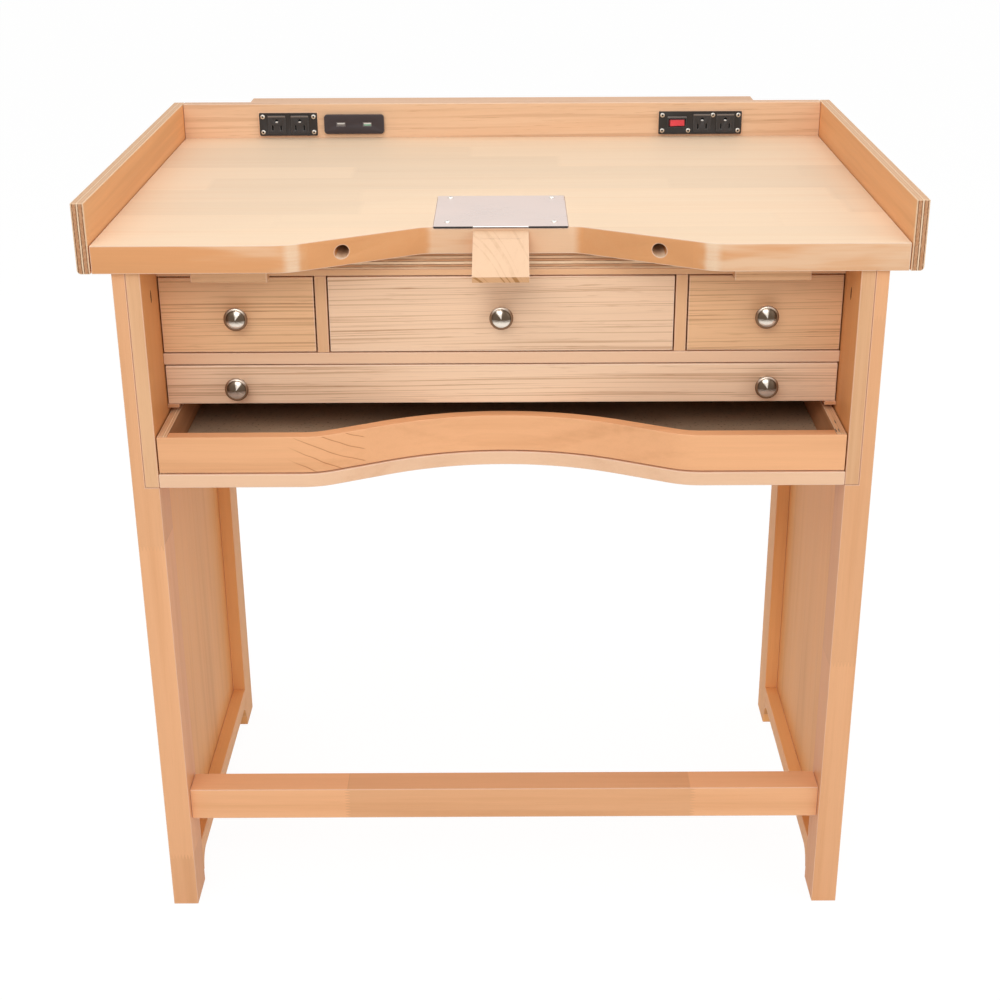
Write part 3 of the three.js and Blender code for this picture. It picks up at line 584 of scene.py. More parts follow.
def spun_nickel_painted_reflections(name, highlight_lean):
    """Spun and brushed nickel: fine rings, and painted reflections: the fan of highlight and dark sectors
    that such turning shows under lamps, a bright crescent below, and a rim painted with the brown of the
    wood it reflects. The upper ray of the fan leans sideways by the given lean."""
    tint = colours()
    finish = Surface(name)
    x, y, z = finish.split(finish.place())
    radius = (x * x + y * y) ** 0.5
    rings = finish.noise(finish.join(radius, z, 0.0), (2600.0, 2600.0, 1.0))
    angle = y.math("ARCTAN2", x - y * highlight_lean, y)
    turn = angle.size()
    ragged = finish.noise(finish.join(angle, radius, 0.0), (6.0, 120.0, 1.0), 3.0) - 0.5
    # Painted highlight: the upper ray of the fan
    ray = 1 - finish.smooth(turn + ragged * 0.5, 0.14, 0.55)
    below = (0.0 - y) / KNOB_RADIUS
    # Painted highlight: a bright crescent on the lower half
    floor = finish.smooth(below + ragged * 0.3, 0.02, 0.42) * (1 - finish.smooth(below, 0.5, 0.85) * 0.3)
    light = ray.math("MAXIMUM", ray, floor)
    # Painted reflection: the bright and dark sectors of the fan
    face = finish.mix(tint.nickel_painted_dark_reflection, tint.nickel, light * (0.9 + rings * 0.2))
    # Painted reflection: the rim goes brown with the wood around it
    edge = finish.mix(tint.nickel_rim_painted_reflection, tint.nickel, (1 - finish.smooth(turn, 0.3, 1.2)) * 0.55)
    finish.set(
        Metallic=0.6,
        Anisotropic=0.5,
        Base_Color=finish.mix(face, edge, finish.smooth(radius, *KNOB_RIM)),
        Roughness=0.3 + (rings - 0.5) * 0.12,
        Normal=finish.bump(rings, 0.08, 0.0001),
    )


def plastic(name, base, rough, grain=1500.0, rub=None):
    """Moulded plastic with a fine grained skin, faint handling marks and rubbed edges."""
    finish = Surface(name)
    place = finish.place()
    skin = finish.noise(place, (grain, grain, grain), 2.0)
    marks = finish.noise(place, (60.0, 60.0, 60.0), 4.0)
    tinted = finish.vector("SCALE", base, 1 + (marks - 0.5) * 0.35 + (skin - 0.5) * 0.15)
    rubbed = rub or tuple(min(1.0, 0.12 + 1.3 * c) for c in base)
    finish.set(
        Base_Color=finish.mix(tinted, rubbed, finish.attribute("wear_and_highlight") * (1.0 if rub else 0.5)),
        Roughness=rough + (marks - 0.5) * 0.2,
        Normal=finish.bump(skin, 0.15, 0.0002),
    )


def liner_metal(name):
    """Sheet metal of the catch tray: dull, stained and specked with filings. Its colour is painted pale for
    light that doesn't reach it under the drawers, and painted shade darkens it towards the back.
    """
    tint = colours()
    finish = Surface(name)
    place = finish.place()
    clouds = finish.noise(place, (9.0, 14.0, 9.0), 5.0)
    specks = finish.smooth(finish.noise(place, (260.0, 260.0, 260.0), 3.0), 0.58, 0.7)
    rust = finish.smooth(finish.noise(place, (5.0, 7.0, 5.0), 3.0), 0.5, 0.75)
    base = finish.vector("SCALE", tint.liner, 0.6 + clouds * 0.8)
    base = finish.mix(base, tint.liner_rust, rust * 0.4)
    base = finish.mix(base, tint.liner_specks, specks * 0.5)
    y = finish.split(place)[1]
    # Painted shade towards the back, under the drawers
    shade = finish.smooth(y + (clouds - 0.5) * 0.06, *LINER_SHADE)
    finish.set(
        Metallic=0.1,
        Base_Color=finish.mix(base, tint.liner_painted_shade, shade * 0.55),
        Roughness=0.38 + clouds * 0.3,
        Normal=finish.bump(clouds + specks * 0.3, 0.2, 0.0004),
    )


def make_finishes():
    tint = colours()
    fine_lines = (0.5, 0.66)
    wood(
        "worktop_wood",
        tint.worktop,
        tint.worktop_line,
        gap=0.02,
        line=0.14,
        rough=0.55,
        gloss=0.15,
        pores=0.08,
        cloud=0.08,
        blocks=0.62,
        stave=0.07,
        edge=worktop_front,
    )
    wood(
        "back_wood",
        tint.back,
        tint.back_line,
        gap=0.006,
        line=0.25,
        crisp=fine_lines,
        sway=0.008,
        pores=0.3,
        edge=lambda finish: tint.back_edge,
    )
    wood(
        "frame_wood",
        tint.frame,
        tint.frame_line,
        gap=0.02,
        line=0.25,
        gloss=0.08,
        pores=0.12,
        blocks=FINGER_BLOCK,
    )
    # Painted shade: the cabinet's inside boards in an oranger copy of the frame wood
    wood(
        "shaded_inner_wood",
        tint.inner,
        tint.inner_line,
        gap=0.03,
        line=0.3,
        sway=0.015,
        pores=0.12,
        gloss=0.1,
        edge=lambda finish: tint.inner_edge,
    )
    # Painted light: a paler copy of the frame wood for the parts in shade under the bench
    wood("panel_wood", tint.panel, tint.inner_line, gap=0.03, line=0.2, sway=0.015, pores=0.1, gloss=0.1)
    lines = {"crisp": fine_lines, "pores": 0.3}
    wood("drawer_wood", tint.drawer, tint.drawer_line, gap=0.0022, line=0.55, sway=0.012, **lines)
    # Painted shade: the side drawers' darker copy of the drawer wood
    wood("side_drawer_wood", tint.side_drawer, tint.drawer_line, gap=0.0024, line=0.62, sway=0.008, **lines)
    wood(
        "tray_wood",
        tint.tray,
        tint.tray_line,
        gap=0.02,
        line=0.22,
        pores=0.06,
        edge_wear_and_highlight=0.05,
        bold=RING_STRETCH,
    )
    wood("bottom_wood", tint.bottom, tint.bottom_line, gap=0.02, line=0.25, pores=0.1)
    wood(
        "pin_wood",
        tint.pin,
        tint.pin_line,
        gap=0.0042,
        line=0.16,
        crisp=(0.54, 0.6),
        ends=1.3,
        pores=0.08,
        edge=lambda finish: tint.pin_edge,
    )
    plywood("plywood", tint.ply_face, tint.ply_line)
    plywood("spacer_plywood", tint.ply_face, tint.ply_line, contrast=0.9, core=0.2)
    # Painted shade: the tray box's darker copy of the plywood
    plywood("shaded_tray_plywood", tint.tray_ply_shaded, tint.tray_ply_shaded_line)
    metal("plate_steel", tint.plate, rough=0.3, brush=(30.0, 900.0, 30.0), spots=0.1)
    # Painted reflections of the knobs, leaning one way on each side
    spun_nickel_painted_reflections("left_nickel_painted_reflections", highlight_lean=0.4)
    spun_nickel_painted_reflections("right_nickel_painted_reflections", highlight_lean=-0.3)
    metal("screw_steel", tint.screw, rough=0.28, brush=(600.0, 600.0, 600.0))
    metal("dark_steel", tint.dark_steel, rough=0.5, brush=(600.0, 600.0, 600.0), spots=0.4)
    # Painted shadow and half-shade for the plate's front face
    plastic("shadow_steel", tint.plate_shadow, rough=0.6)
    plastic("half_shade_steel", tint.plate_edge, rough=0.5)
    plastic("black_plastic", tint.plastic, rough=0.42)
    plastic("usb_plastic", tint.usb, rough=0.4)
    plastic("socket_plastic", tint.socket, rough=0.5, grain=2200.0)
    plastic("lip_plastic", tint.lip, rough=0.35)
    plastic("red_plastic", tint.switch, rough=0.3, rub=tint.switch_edge)
    # Painted shade in the recesses of screws and bolts
    plastic("recess_shade_plastic", tint.hole, rough=0.6)
    plastic("tongue_white", tint.tongue, rough=0.35)
    plastic("tongue_green", tint.tongue_green, rough=0.35)
    liner_metal("liner_metal")


def finish_named(name):
    if name not in FINISHES:
        make_finishes()
    return FINISHES[name]


# Meshes


def add_piece(name, work, finishes, body):
    """Turns a working mesh into a piece that rides on a body of the bench."""
    mesh = bpy.data.meshes.new(name)
    work.normal_update()
    work.to_mesh(mesh)
    work.free()
    for finish in finishes:
        mesh.materials.append(finish_named(finish))
    for polygon in mesh.polygons:
        polygon.use_smooth = True
    mesh.set_sharp_from_angle(angle=SMOOTH_ANGLE)
    piece = bpy.data.objects.new(name, mesh)
    bpy.context.scene.collection.objects.link(piece)
    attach(piece, body)
    return piece


def node_mesh(node):
    """A working copy of a CAD node with its doubled corners welded."""
    work = bmesh.new()
    work.from_mesh(frame["nodes"][node].data)
    bmesh.ops.remove_doubles(work, verts=work.verts, dist=WELD)
    return work


def ease(work, width):
    """Rounds the sharp edges and marks the rounded strips, which the finishes paint as wear and highlight.
    """
    wear_and_highlight = work.faces.layers.float.new("wear_and_highlight")
    bmesh.ops.dissolve_limit(work, angle_limit=FLAT_ANGLE, verts=work.verts, edges=work.edges)
    sharp = [e for e in work.edges if e.is_manifold and e.calc_face_angle(0.0) > SHARP_ANGLE]
    made = bmesh.ops.bevel(
        work, geom=sharp, offset=width, segments=2, profile=0.5, affect="EDGES", clamp_overlap=True
    )
    for face in made["faces"]:
        face[wear_and_highlight] = 1.0


def figure(work, name, axes, cut, choose_axes=None, joint=None):
    """Lays out the grain of a board: where its faces lie in the log, which faces are end grain or cut
    edges, and how light the board is. Axes names the ways along, across and through the grain, and
    joint is the place along the board of a finger joint."""
    chance = random.Random(name)
    grain = work.loops.layers.float_vector.new("grain")
    end = work.faces.layers.float.new("end")
    edge = work.faces.layers.float.new("cut")
    tone = work.faces.layers.float.new("tone")
    low = Vector([min(v.co[i] for v in work.verts) for i in range(3)])
    high = Vector([max(v.co[i] for v in work.verts) for i in range(3)])
    middle = (low + high) / 2
    offsets = {
        "flat": (chance.uniform(-0.02, 0.02), chance.uniform(0.03, 0.06)),
        "straight": (chance.uniform(0.12, 0.2), chance.uniform(0.02, 0.05)),
        "slant": (chance.uniform(0.06, 0.08), chance.uniform(0.06, 0.08)),
        "ply": (chance.uniform(0.0, 2.0), 0.0),
    }[cut]
    start = chance.uniform(0.0, 9.0)
    if joint is not None:
        start = 10 * FINGER_BLOCK + middle["xyz".index(axes[0])] - joint
    light = chance.uniform(-0.03, 0.03)
    tilt = chance.uniform(-0.012, 0.012)
    for face in work.faces:
        along, across, deep = ("xyz".index(c) for c in (choose_axes(face) if choose_axes else axes))
        face[tone] = light
        face[end] = 1.0 if abs(face.normal[along]) > END_GRAIN else 0.0
        face[edge] = 1.0 if abs(face.normal[deep]) < CUT_EDGE else 0.0
        for loop in face.loops:
            spot = loop.vert.co - middle
            depth = loop.vert.co[deep] - low[deep] if cut == "ply" else spot[deep] + offsets[1]
            loop[grain] = (spot[along] + start, spot[across] + spot[along] * tilt + offsets[0], depth)


def dress(node, finish, axes, cut="straight", width=None, choose_axes=None, joint=None, lift=0.0):
    """An eased and figured copy of a CAD board, which stands for it. Lift planes its underside."""
    work = node_mesh(node)
    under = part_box(node)[0].z
    for vert in work.verts:
        if vert.co.z < under + lift:
            vert.co.z = under + lift
    ease(work, sizes().board_ease if width is None else width)
    work.normal_update()
    figure(work, node, axes, cut, choose_axes, joint)
    piece = add_piece(f"eased_{node}", work, [finish], BODY_OF[node])
    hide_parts(node)


def block(low, high):
    work = bmesh.new()
    made = bmesh.ops.create_cube(work, size=1.0)
    low, high = Vector(low), Vector(high)
    for vert in made["verts"]:
        vert.co = Vector([low[i] if vert.co[i] < 0 else high[i] for i in range(3)])
    return work


def block_at(place, corners):
    """A block from its corners in millimetres about a place."""
    return block(*([p + c * MM for p, c in zip(place, corner)] for corner in corners))


def middle_of(node):
    """The middle of a CAD node in X and Z."""
    low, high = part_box(node)
    return (low.x + high.x) / 2, (low.z + high.z) / 2


def lathe(profile, steps):
    """A turned form about Z from points of radius and height."""
    work = bmesh.new()
    work.faces.layers.float.new("wear_and_highlight")
    verts = [work.verts.new((radius, 0.0, height)) for radius, height in profile]
    edges = [work.edges.new(pair) for pair in zip(verts, verts[1:])]
    bmesh.ops.spin(
        work, geom=verts + edges, cent=(0, 0, 0), axis=(0, 0, 1), angle=math.tau, steps=steps, use_merge=True
    )
    bmesh.ops.remove_doubles(work, verts=work.verts, dist=FINE_WELD)
    bmesh.ops.recalc_face_normals(work, faces=work.faces)
    return work


def carve(work, cutters):
    """The working mesh with the cutters taken out of it."""

    def park(name, contents):
        mesh = bpy.data.meshes.new(name)
        contents.to_mesh(mesh)
        contents.free()
        thing = bpy.data.objects.new(name, mesh)
        bpy.context.scene.collection.objects.link(thing)
        return thing

    body = park("carved", work)
    tools = [park("cutter", cutter) for cutter in cutters]
    for tool in tools:
        modifier = body.modifiers.new("cut", "BOOLEAN")
        modifier.operation = "DIFFERENCE"
        modifier.solver = "EXACT"
        modifier.object = tool
    bpy.context.view_layer.update()
    carved = bmesh.new()
    carved.from_object(body, bpy.context.evaluated_depsgraph_get())
    for thing in [body, *tools]:
        mesh = thing.data
        bpy.data.objects.remove(thing)
        bpy.data.meshes.remove(mesh)
    bmesh.ops.remove_doubles(carved, verts=carved.verts, dist=WELD)
    return carved


def rounded_path(corners, steps=12):
    """Points along a straight-sided path whose corners carry a radius."""
    points = []
    for i, (x, y, radius) in enumerate(corners):
        corner = Vector((x, y))
        if not radius:
            points.append(corner)
            continue
        before = (Vector(corners[i - 1][:2]) - corner).normalized()
        after = (Vector(corners[(i + 1) % len(corners)][:2]) - corner).normalized()
        half = before.angle(after) / 2
        centre = corner + (before + after).normalized() * radius / math.sin(half)
        first = corner + before * radius / math.tan(half) - centre
        last = corner + after * radius / math.tan(half) - centre
        turn = first.angle_signed(last)
        for step in range(steps + 1):
            points.append(centre + Matrix.Rotation(-turn * step / steps, 2) @ first)
    return points


def rectangle(x, y, half_x, half_y):
    return [(x + side * half_x, y + end * half_y) for side, end in ((-1, -1), (1, -1), (1, 1), (-1, 1))]


def raise_outline(points, low, high):
    """An outline in X and Y, raised between two heights."""
    work = bmesh.new()
    base = work.faces.new([work.verts.new((x, y, low)) for x, y in points])
    raised = bmesh.ops.extrude_face_region(work, geom=[base])
    moved = [g for g in raised["geom"] if isinstance(g, bmesh.types.BMVert)]
    bmesh.ops.translate(work, vec=(0, 0, high - low), verts=moved)
    bmesh.ops.recalc_face_normals(work, faces=work.faces)
    return work


def turned_screw(name, place, toward, diameter, finishes, recess=0.42, stretch=(1, 1, 1)):
    """A small button-headed screw on the bench with a round dark recess, facing along toward."""
    rim = diameter / 2
    hole = rim * recess
    rise = rim * 0.35
    profile = [
        (0.0, rise * 0.3),
        (hole * 0.92, rise * 0.3),
        (hole, rise * 0.95),
        (rim * 0.72, rise * 0.85),
        (rim * 0.95, rise * 0.4),
        (rim, 0.0),
        (rim * 0.9, -rise * 0.2),
        (0.0, -rise * 0.2),
    ]
    work = lathe(profile, SCREW_STEPS)
    for face in work.faces:
        middle = face.calc_center_median()
        if middle.xy.length < hole * 0.95 and middle.z > 0:
            # The recess takes the second finish: painted shade on the outlet screws and bolts, blackened
            # steel on the plate's screws
            face.material_index = 1
    turn = Vector((0, 0, 1)).rotation_difference(Vector(toward)).to_matrix().to_4x4()
    placed = Matrix.Translation(place) @ Matrix.Diagonal((*stretch, 1)) @ turn
    bmesh.ops.transform(work, matrix=placed, verts=work.verts)
    add_piece(name, work, finishes, "bench")


# Pieces


class BENCH_OT_worktop(bpy.types.Operator):
    """Joins the worktop's boards into one slab with a curved cut-out, a let-in plate and bored holes"""

    bl_idname = "bench.worktop"
    bl_label = "Worktop"

    def execute(self, context):
        low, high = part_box("worktop_panel")
        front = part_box("right_front_board")[0].y
        notch = low.y
        low.x += sizes().end_gap
        high.x -= sizes().end_gap
        outline = [
            (low.x, high.y, 0.0),
            (low.x, front, 0.0),
            (-CUTOUT_HALF, front, CUTOUT_CORNER),
            (-CUTOUT_BACK_HALF, notch, CUTOUT_BACK_CORNER),
            (CUTOUT_BACK_HALF, notch, CUTOUT_BACK_CORNER),
            (CUTOUT_HALF, front, CUTOUT_CORNER),
            (high.x, front, 0.0),
            (high.x, high.y, 0.0),
        ]
        slab = raise_outline(rounded_path(outline), low.z, high.z)
        plate_low, plate_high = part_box("bench_plate")
        gap = Vector((BED_GAP, BED_GAP, BED_GAP))
        bed = block(plate_low - gap, plate_high + gap)
        under, above = MORTISE_HEIGHTS
        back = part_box("bench_pin")[1].y + MORTISE_SPARE
        mortise = block((-MORTISE_HALF, notch - MORTISE_START, under), (MORTISE_HALF, back, above))
        cutters = [bed, mortise]
        for side in (-1, 1):
            bore = bmesh.new()
            turn = Matrix.Translation((side * BORE_OFFSET, front + BORE_MIDDLE, (low.z + high.z) / 2))
            bmesh.ops.create_cone(
                bore,
                cap_ends=True,
                segments=32,
                radius1=BORE_RADIUS,
                radius2=BORE_RADIUS,
                depth=BORE_DEPTH,
                matrix=turn @ Matrix.Rotation(math.pi / 2, 4, "X"),
            )
            cutters.append(bore)
        work = carve(slab, cutters)
        ease(work, sizes().board_ease)
        work.normal_update()
        figure(work, "worktop", "xyz", "straight")
        piece = add_piece("worktop_slab", work, ["worktop_wood"], "bench")
        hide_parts("worktop_panel", "left_front_board", "right_front_board")
        return {"FINISHED"}


class BENCH_OT_gallery(bpy.types.Operator):
    """Eases the gallery boards and the back board"""

    bl_idname = "bench.gallery"
    bl_label = "Gallery"

    def execute(self, context):
        for side in ("left", "right"):
            dress(f"{side}_gallery_board", "plywood", "yzx", "ply")
        dress("back_board", "back_wood", "xzy")
        return {"FINISHED"}


class BENCH_OT_plate(bpy.types.Operator):
    """Finishes the steel bench plate, its screws and the wooden bench pin"""

    bl_idname = "bench.plate"
    bl_label = "Bench plate and pin"

    def execute(self, context):
        work = node_mesh("bench_plate")
        ease(work, sizes().sheet_ease)
        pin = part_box("bench_pin")[1].x
        for x in (-pin, pin):
            parts = work.verts[:] + work.edges[:] + work.faces[:]
            bmesh.ops.bisect_plane(work, geom=parts, plane_co=(x, 0, 0), plane_no=(1, 0, 0))
        work.normal_update()
        # The plate's front face is painted: black shadow beside the pin, grey half-shade above it
        for face in work.faces:
            beside = abs(face.calc_center_median().x) > pin
            if beside and face.normal.y < -FACES_FRONT:
                face.material_index = 1
            elif face.normal.y < -FLAT_FRONT:
                face.material_index = 2
        finishes = ["plate_steel", "shadow_steel", "half_shade_steel"]
        plate = add_piece("steel_bench_plate", work, finishes, "bench")
        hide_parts("bench_plate")
        low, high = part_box("bench_plate")
        inset = sizes().plate_screw_inset
        steels = ["screw_steel", "dark_steel"]
        for side, x in (("left", low.x + inset), ("right", high.x - inset)):
            for row, shift in PLATE_SCREW_ROWS:
                y = (low.y + inset if row == "front" else high.y - inset) + shift
                name = f"plate_screw_{side}_{row}"
                turned_screw(name, (x, y, high.z), (0, 0, 1), sizes().plate_screw, steels, 0.2)
        dress("bench_pin", "pin_wood", "yxz", "slant", sizes().fine_ease)
        return {"FINISHED"}


class BENCH_OT_power(bpy.types.Operator):
    """Finishes the outlets, the USB ports, the power switch and the wiring box"""

    bl_idname = "bench.power"
    bl_label = "Power fittings"

    def moulded(self, node, finish, width=None):
        work = node_mesh(node)
        ease(work, sizes().plastic_ease if width is None else width)
        piece = add_piece(f"moulded_{node}", work, [finish], BODY_OF[node])
        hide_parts(node)

    def fitting(self, name, work, finish, ease_mm):
        """A small eased piece on the bench that no CAD node stands for."""
        ease(work, ease_mm * MM)
        add_piece(name, work, [finish], "bench")

    def screws(self, plate, more=()):
        """A screw in each corner of an outlet plate, and more at places along it, low or high."""
        low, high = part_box(plate)
        inset = sizes().outlet_screw_inset
        places = [(x, up) for x in (low.x + inset, high.x - inset) for up in (0, 1)]
        places += [(low.x + along, up) for along, up in more]
        finishes = ["screw_steel", "recess_shade_plastic"]
        for i, (x, up) in enumerate(places):
            place = (x, low.y, high.z - inset if up else low.z + inset)
            name = f"{plate}_screw_{i}"
            turned_screw(name, place, (0, -1, 0), sizes().outlet_screw, finishes)

    def margin(self, plate):
        """The pale chamfered edge of the wood round an outlet plate."""
        low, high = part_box(plate)
        work = bmesh.new()
        rings = []
        for wide, proud in MARGIN_RINGS:
            grow = wide * MM
            corners = (
                (low.x - grow, low.z - grow),
                (high.x + grow, low.z - grow),
                (high.x + grow, high.z + grow),
                (low.x - grow, high.z + grow),
            )
            rings.append([work.verts.new((x, high.y - proud * MM, z)) for x, z in corners])
        for ring, after in zip(rings, rings[1:] + rings[:1]):
            for i in range(4):
                work.faces.new((ring[i], ring[(i + 1) % 4], after[(i + 1) % 4], after[i]))
        bmesh.ops.recalc_face_normals(work, faces=work.faces)
        work.faces.layers.float.new("wear_and_highlight")
        figure(work, plate, "xzy", "straight")
        add_piece(f"{plate}_margin", work, ["bottom_wood"], "bench")

    def bezel(self):
        """A raised frame round the rocker switch, with a paler lip above it."""
        x, z = middle_of("rocker_switch")
        place = (x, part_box("right_outlet_plate")[0].y, z)
        ring = carve(block_at(place, ROCKER_FRAME), [block_at(place, ROCKER_WINDOW)])
        self.fitting("rocker_bezel", ring, "black_plastic", ease_mm=0.3)
        self.fitting("rocker_lip", block_at(place, ROCKER_LIP), "lip_plastic", ease_mm=0.25)

    def sockets(self, node):
        """A paler raised lip along the top of each socket, and the spring in its ground hole, white as a
        painted glint.
        """
        low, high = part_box(node)
        middle_x, middle_z = middle_of(node)
        for i, x in enumerate((middle_x - SOCKET_OFFSET, middle_x + SOCKET_OFFSET)):
            lip = block_at((x, low.y, high.z), SOCKET_LIP)
            for vert in lip.verts:
                if vert.co.z < high.z - SOCKET_LIP_EDGE and vert.co.y < low.y:
                    vert.co.y = low.y - SOCKET_LIP_FLUSH
            self.fitting(f"{node}_lip_{i}", lip, "lip_plastic", ease_mm=0.25)
            # Painted glint: the spring is white to stand for the glint in the ground hole
            spring = block_at((x, low.y, middle_z), SOCKET_SPRING_GLINT)
            self.fitting(f"{node}_spring_{i}", spring, "tongue_white", ease_mm=0.2)

    def port(self, name, x, finish):
        """A USB port: its metal shell, its white tongue and the floor below."""
        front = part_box("usb_plate")[0].y
        z = middle_of("usb_plate")[1]
        room = raise_outline(rectangle(x, z, *USB_ROOM), -MM, USB_DEPTH + MM)
        shell = carve(raise_outline(rectangle(x, z, *USB_SHELL), 0.0, USB_DEPTH), [room])
        turn = Matrix(((1, 0, 0, 0), (0, 0, 1, front + USB_SINK), (0, 1, 0, 0), (0, 0, 0, 1)))
        bmesh.ops.transform(shell, matrix=turn, verts=shell.verts)
        bmesh.ops.recalc_face_normals(shell, faces=shell.faces)
        self.fitting(f"usb_shell_{name}", shell, "lip_plastic", ease_mm=0.12)
        tongue = block_at((x, front, z), USB_TONGUE)
        self.fitting(f"usb_tongue_{name}", tongue, "tongue_white", ease_mm=0.3)
        self.fitting(f"usb_floor_{name}", block_at((x, front, z), USB_FLOOR), finish, ease_mm=0.3)

    def execute(self, context):
        for node in ("left_outlet_plate", "right_outlet_plate", "cord_gland"):
            self.moulded(node, "black_plastic")
        for node in ("left_receptacle", "right_receptacle"):
            self.moulded(node, "socket_plastic")
        self.moulded("usb_plate", "usb_plastic")
        self.moulded("rocker_switch", "red_plastic", sizes().rocker_ease)
        dress("wiring_box", "back_wood", "xzy")
        self.bezel()
        for side in ("left", "right"):
            self.margin(f"{side}_outlet_plate")
        self.screws("left_outlet_plate")
        self.screws("right_outlet_plate", LONG_PLATE_SCREWS)
        self.sockets("left_receptacle")
        self.sockets("right_receptacle")
        x = middle_of("usb_plate")[0]
        self.port("left", x - USB_OFFSET, "lip_plastic")
        self.port("right", x + USB_OFFSET, "tongue_green")
        return {"FINISHED"}


class BENCH_OT_frame(bpy.types.Operator):
    """Eases the legs, side panels, lower rails and the stretcher"""

    bl_idname = "bench.frame"
    bl_label = "Frame"

    def execute(self, context):
        for side, joint in LEG_JOINTS.items():
            dress(f"{side}_front_leg", "frame_wood", "zxy", joint=joint)
            # The rear legs, side panels and lower rails take the paler copy that paints in light
            dress(f"{side}_rear_leg", "panel_wood", "zxy")
            dress(f"{side}_side_panel", "panel_wood", "zyx", "flat")
            dress(f"{side}_lower_rail", "panel_wood", "yzx")
        dress("front_stretcher", "frame_wood", "xzy")
        return {"FINISHED"}


class BENCH_OT_cabinet(bpy.types.Operator):
    """Eases the cabinet's boards and the armrests, and adds the connector bolts"""

    bl_idname = "bench.cabinet"
    bl_label = "Cabinet and armrests"

    def execute(self, context):
        size = sizes()
        for side in ("left", "right"):
            # The cabinet's sides, dividers and top take the oranger copy that paints their shade
            dress(f"{side}_cabinet_side", "shaded_inner_wood", "zyx")
            dress(f"{side}_divider", "shaded_inner_wood", "zyx")
            dress(f"{side}_runner", "frame_wood", "yxz", width=size.thin_ease)
            dress(f"{side}_outer_spacer", "plywood", "xyz", "ply", size.thin_ease)
            # The armrests take the same darker copy of the drawer wood
            dress(f"{side}_armrest", "side_drawer_wood", "xyz", width=size.armrest_ease)
        dress("cabinet_bottom", "bottom_wood", "xyz", "slant")
        dress("shelf", "bottom_wood", "xyz", "slant", size.fine_ease)
        dress("cabinet_top", "shaded_inner_wood", "xyz", "slant", size.inner_ease)
        dress("middle_spacer", "spacer_plywood", "xyz", "ply", size.thin_ease)
        dress("cabinet_back", "plywood", "xzy", "ply", size.inner_ease)
        finishes = ["dark_steel", "recess_shade_plastic"]
        for side, name in ((-1, "left"), (1, "right")):
            low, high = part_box(f"{name}_cabinet_side")
            place = (high.x if side < 0 else low.x, *BOLT_PLACE)
            bolt = f"connector_bolt_{name}"
            turned_screw(bolt, place, (-side, 0, 0), size.bolt, finishes, 0.6, BOLT_STRETCH)
        return {"FINISHED"}


def box_axes(node):
    """Grain of a drawer box: along Y in its sides and along X in its back."""
    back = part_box(node)[1].y - BOX_BACK
    return lambda face: "xzy" if face.calc_center_median().y > back else "yzx"


class BENCH_OT_drawers(bpy.types.Operator):
    """Eases the boards of the drawers"""

    bl_idname = "bench.drawers"
    bl_label = "Drawers"

    def execute(self, context):
        for name in ("left", "middle", "right", "wide"):
            # The side drawers take the copy of the drawer wood that paints their shade
            finish = "drawer_wood" if name in ("middle", "wide") else "side_drawer_wood"
            box = f"{name}_drawer_box"
            dress(f"{name}_drawer_front", finish, "xzy")
            dress(box, "plywood", "yzx", "ply", sizes().fine_ease, box_axes(box))
            dress(f"{name}_drawer_bottom", "plywood", "xyz", "ply", sizes().sheet_ease)
        return {"FINISHED"}


class BENCH_OT_knobs(bpy.types.Operator):
    """Turns the knobs of the drawers"""

    bl_idname = "bench.knobs"
    bl_label = "Knobs"

    def execute(self, context):
        knobs = [node for node in SLOT_OF if node.endswith("_knob")]
        for node in knobs:
            x, z = middle_of(node)
            work = lathe([(radius * MM, height * MM) for radius, height in KNOB_OUTLINE], KNOB_STEPS)
            finish = "left_nickel_painted_reflections" if x < 0 else "right_nickel_painted_reflections"
            piece = add_piece(f"turned_{node}", work, [finish], BODY_OF[node])
            place = Matrix.Translation((x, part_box(node)[1].y, z))
            piece.matrix_world = place @ Matrix.Rotation(math.pi / 2, 4, "X")
            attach(piece, BODY_OF[node])
            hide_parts(node)
        return {"FINISHED"}


class BENCH_OT_tray(bpy.types.Operator):
    """Eases the catch tray's boards and adds its liner and staples"""

    bl_idname = "bench.tray"
    bl_label = "Catch tray"

    def execute(self, context):
        dress("tray_front", "tray_wood", "xyz", "slant", lift=sizes().tray_gap)
        # The tray box takes the darker plywood that paints its shade
        dress("tray_box", "shaded_tray_plywood", "yzx", "ply", sizes().fine_ease, box_axes("tray_box"))
        work = node_mesh("tray_liner")
        ease(work, sizes().sheet_ease)
        liner = add_piece("tray_liner_sheet", work, ["liner_metal"], "catch_tray")
        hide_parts("tray_liner")
        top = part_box("tray_box")[1].z
        half = Vector((STAPLE_HALF, sizes().staple / 2, 0.0))
        sunk = Vector((0, 0, STAPLE_SUNK))
        proud = Vector((0, 0, STAPLE_PROUD))
        for i, (x, y) in enumerate(STAPLES):
            spot = Vector((x, y, top))
            staple = block(spot - half - sunk, spot + half + proud)
            ease(staple, STAPLE_EASE)
            add_piece(f"staple_{i}", staple, ["dark_steel"], "catch_tray")
        return {"FINISHED"}


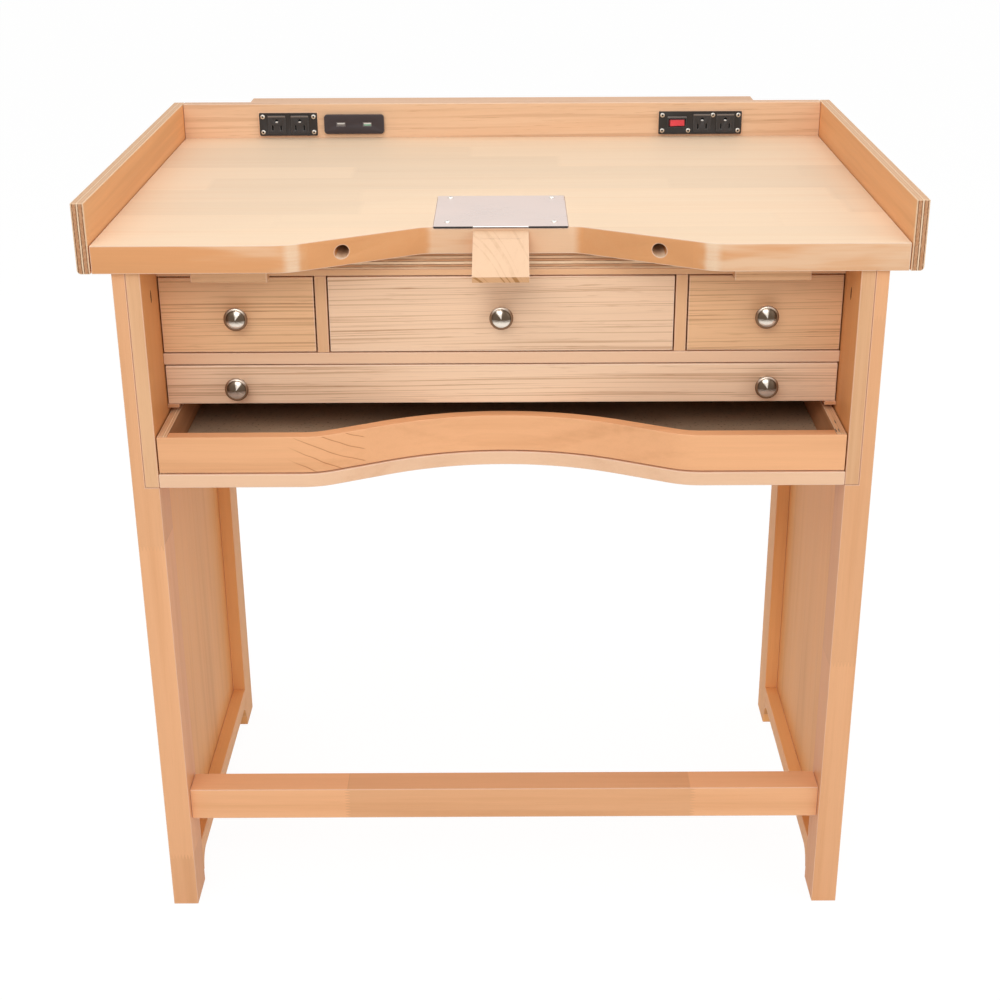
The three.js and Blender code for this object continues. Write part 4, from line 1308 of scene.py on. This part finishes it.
class BENCH_OT_stage(bpy.types.Operator):
    """Lays the floor, sets the lamps and the world's light, and places the camera"""

    bl_idname = "bench.stage"
    bl_label = "Stage"

    def lamp(self, name, place, target, size, power):
        light = bpy.data.lights.new(name, "AREA")
        light.shape = "DISK"
        light.size = size
        light.energy = power
        lamp = bpy.data.objects.new(name, light)
        lamp.location = place
        lamp.rotation_euler = (Vector(target) - Vector(place)).to_track_quat("-Z", "Y").to_euler()
        bpy.context.scene.collection.objects.link(lamp)

    def seen(self, finish):
        """1 where the camera, a reflection or glass looks at the stage."""
        path = finish.node("ShaderNodeLightPath", output="Is Camera Ray")
        rays = path.socket.node.outputs
        sight = path + Value(finish, rays["Is Glossy Ray"]) + Value(finish, rays["Is Transmission Ray"])
        return finish.smooth(sight, 0.0, 1.0)

    def floor(self):
        work = bmesh.new()
        bmesh.ops.create_grid(work, x_segments=8, y_segments=8, size=FLOOR_HALF)
        mesh = bpy.data.meshes.new("floor")
        work.to_mesh(mesh)
        work.free()
        finish = Surface("studio_floor")
        finish.set(Base_Color=colours().floor, Roughness=0.9)
        glow = finish.node("ShaderNodeEmission", sockets={"Color": (1.0, 1.0, 1.0), "Strength": FLOOR_GLOW})
        sockets = {0: self.seen(finish) * GLOW_SHARE, 1: Value(finish, finish.shader.outputs[0]), 2: glow}
        finish.feed(finish.output.inputs["Surface"], finish.node("ShaderNodeMixShader", sockets=sockets))
        mesh.materials.append(finish.material)
        floor = bpy.data.objects.new("floor", mesh)
        floor.location.z = -FLOOR_DROP
        bpy.context.scene.collection.objects.link(floor)

    def world(self):
        world = bpy.data.worlds.new("studio")
        world.use_nodes = True
        bpy.context.scene.world = world
        finish = Finish(world.node_tree)
        background = next(n for n in finish.tree.nodes if n.type == "BACKGROUND")
        background.inputs["Color"].default_value = (1.0, 1.0, 1.0, 1.0)
        strength = WORLD_LIGHT + self.seen(finish) * (1 - WORLD_LIGHT)
        finish.feed(background.inputs["Strength"], strength)

    def camera(self):
        data = bpy.data.cameras.new("camera")
        data.lens = LENS
        data.sensor_width = SENSOR
        data.shift_x = LENS_SHIFT
        camera = bpy.data.objects.new("camera", data)
        bpy.context.scene.collection.objects.link(camera)
        level = Vector((math.sin(YAW), math.cos(YAW), 0.0))
        side = Vector((math.cos(YAW), -math.sin(YAW), 0.0))
        ahead = level * math.cos(PITCH) - Vector((0, 0, math.sin(PITCH)))
        above = level * math.sin(PITCH) + Vector((0, 0, math.cos(PITCH)))
        across = side * math.cos(ROLL) + above * math.sin(ROLL)
        upward = above * math.cos(ROLL) - side * math.sin(ROLL)
        turn = Matrix((across, upward, -ahead)).transposed().to_4x4()
        camera.matrix_world = Matrix.Translation(CAMERA_PLACE) @ turn
        bpy.context.scene.camera = camera

    def execute(self, context):
        context.scene.view_settings.view_transform = "Standard"
        self.camera()
        self.floor()
        self.world()
        for lamp in LAMPS:
            self.lamp(*lamp)
        return {"FINISHED"}


OPERATORS = (
    BENCH_OT_stage,
    BENCH_OT_worktop,
    BENCH_OT_gallery,
    BENCH_OT_plate,
    BENCH_OT_power,
    BENCH_OT_frame,
    BENCH_OT_cabinet,
    BENCH_OT_drawers,
    BENCH_OT_knobs,
    BENCH_OT_tray,
)


class BENCH_PT_sidebar(bpy.types.Panel):
    bl_label = "Jeweller's bench"
    bl_space_type = "VIEW_3D"
    bl_region_type = "UI"
    bl_category = "Bench"

    def draw(self, context):
        for operator in OPERATORS:
            self.layout.operator(operator.bl_idname)
        for group in (context.scene.bench_sizes, context.scene.bench_colours):
            for name in group.__annotations__:
                self.layout.prop(group, name)


CLASSES = (BenchColours, BenchSizes, *OPERATORS, BENCH_PT_sidebar)


def register():
    for made in CLASSES:
        bpy.utils.register_class(made)
    bpy.types.Scene.bench_colours = PointerProperty(type=BenchColours)
    bpy.types.Scene.bench_sizes = PointerProperty(type=BenchSizes)


def unregister():
    del bpy.types.Scene.bench_sizes
    del bpy.types.Scene.bench_colours
    for made in reversed(CLASSES):
        bpy.utils.unregister_class(made)


def main():
    register()
    bpy.ops.bench.stage()
    bpy.ops.bench.worktop()
    bpy.ops.bench.gallery()
    bpy.ops.bench.plate()
    bpy.ops.bench.power()
    bpy.ops.bench.frame()
    bpy.ops.bench.cabinet()
    bpy.ops.bench.drawers()
    bpy.ops.bench.knobs()
    bpy.ops.bench.tray()


if __name__ == "__main__":
    main()
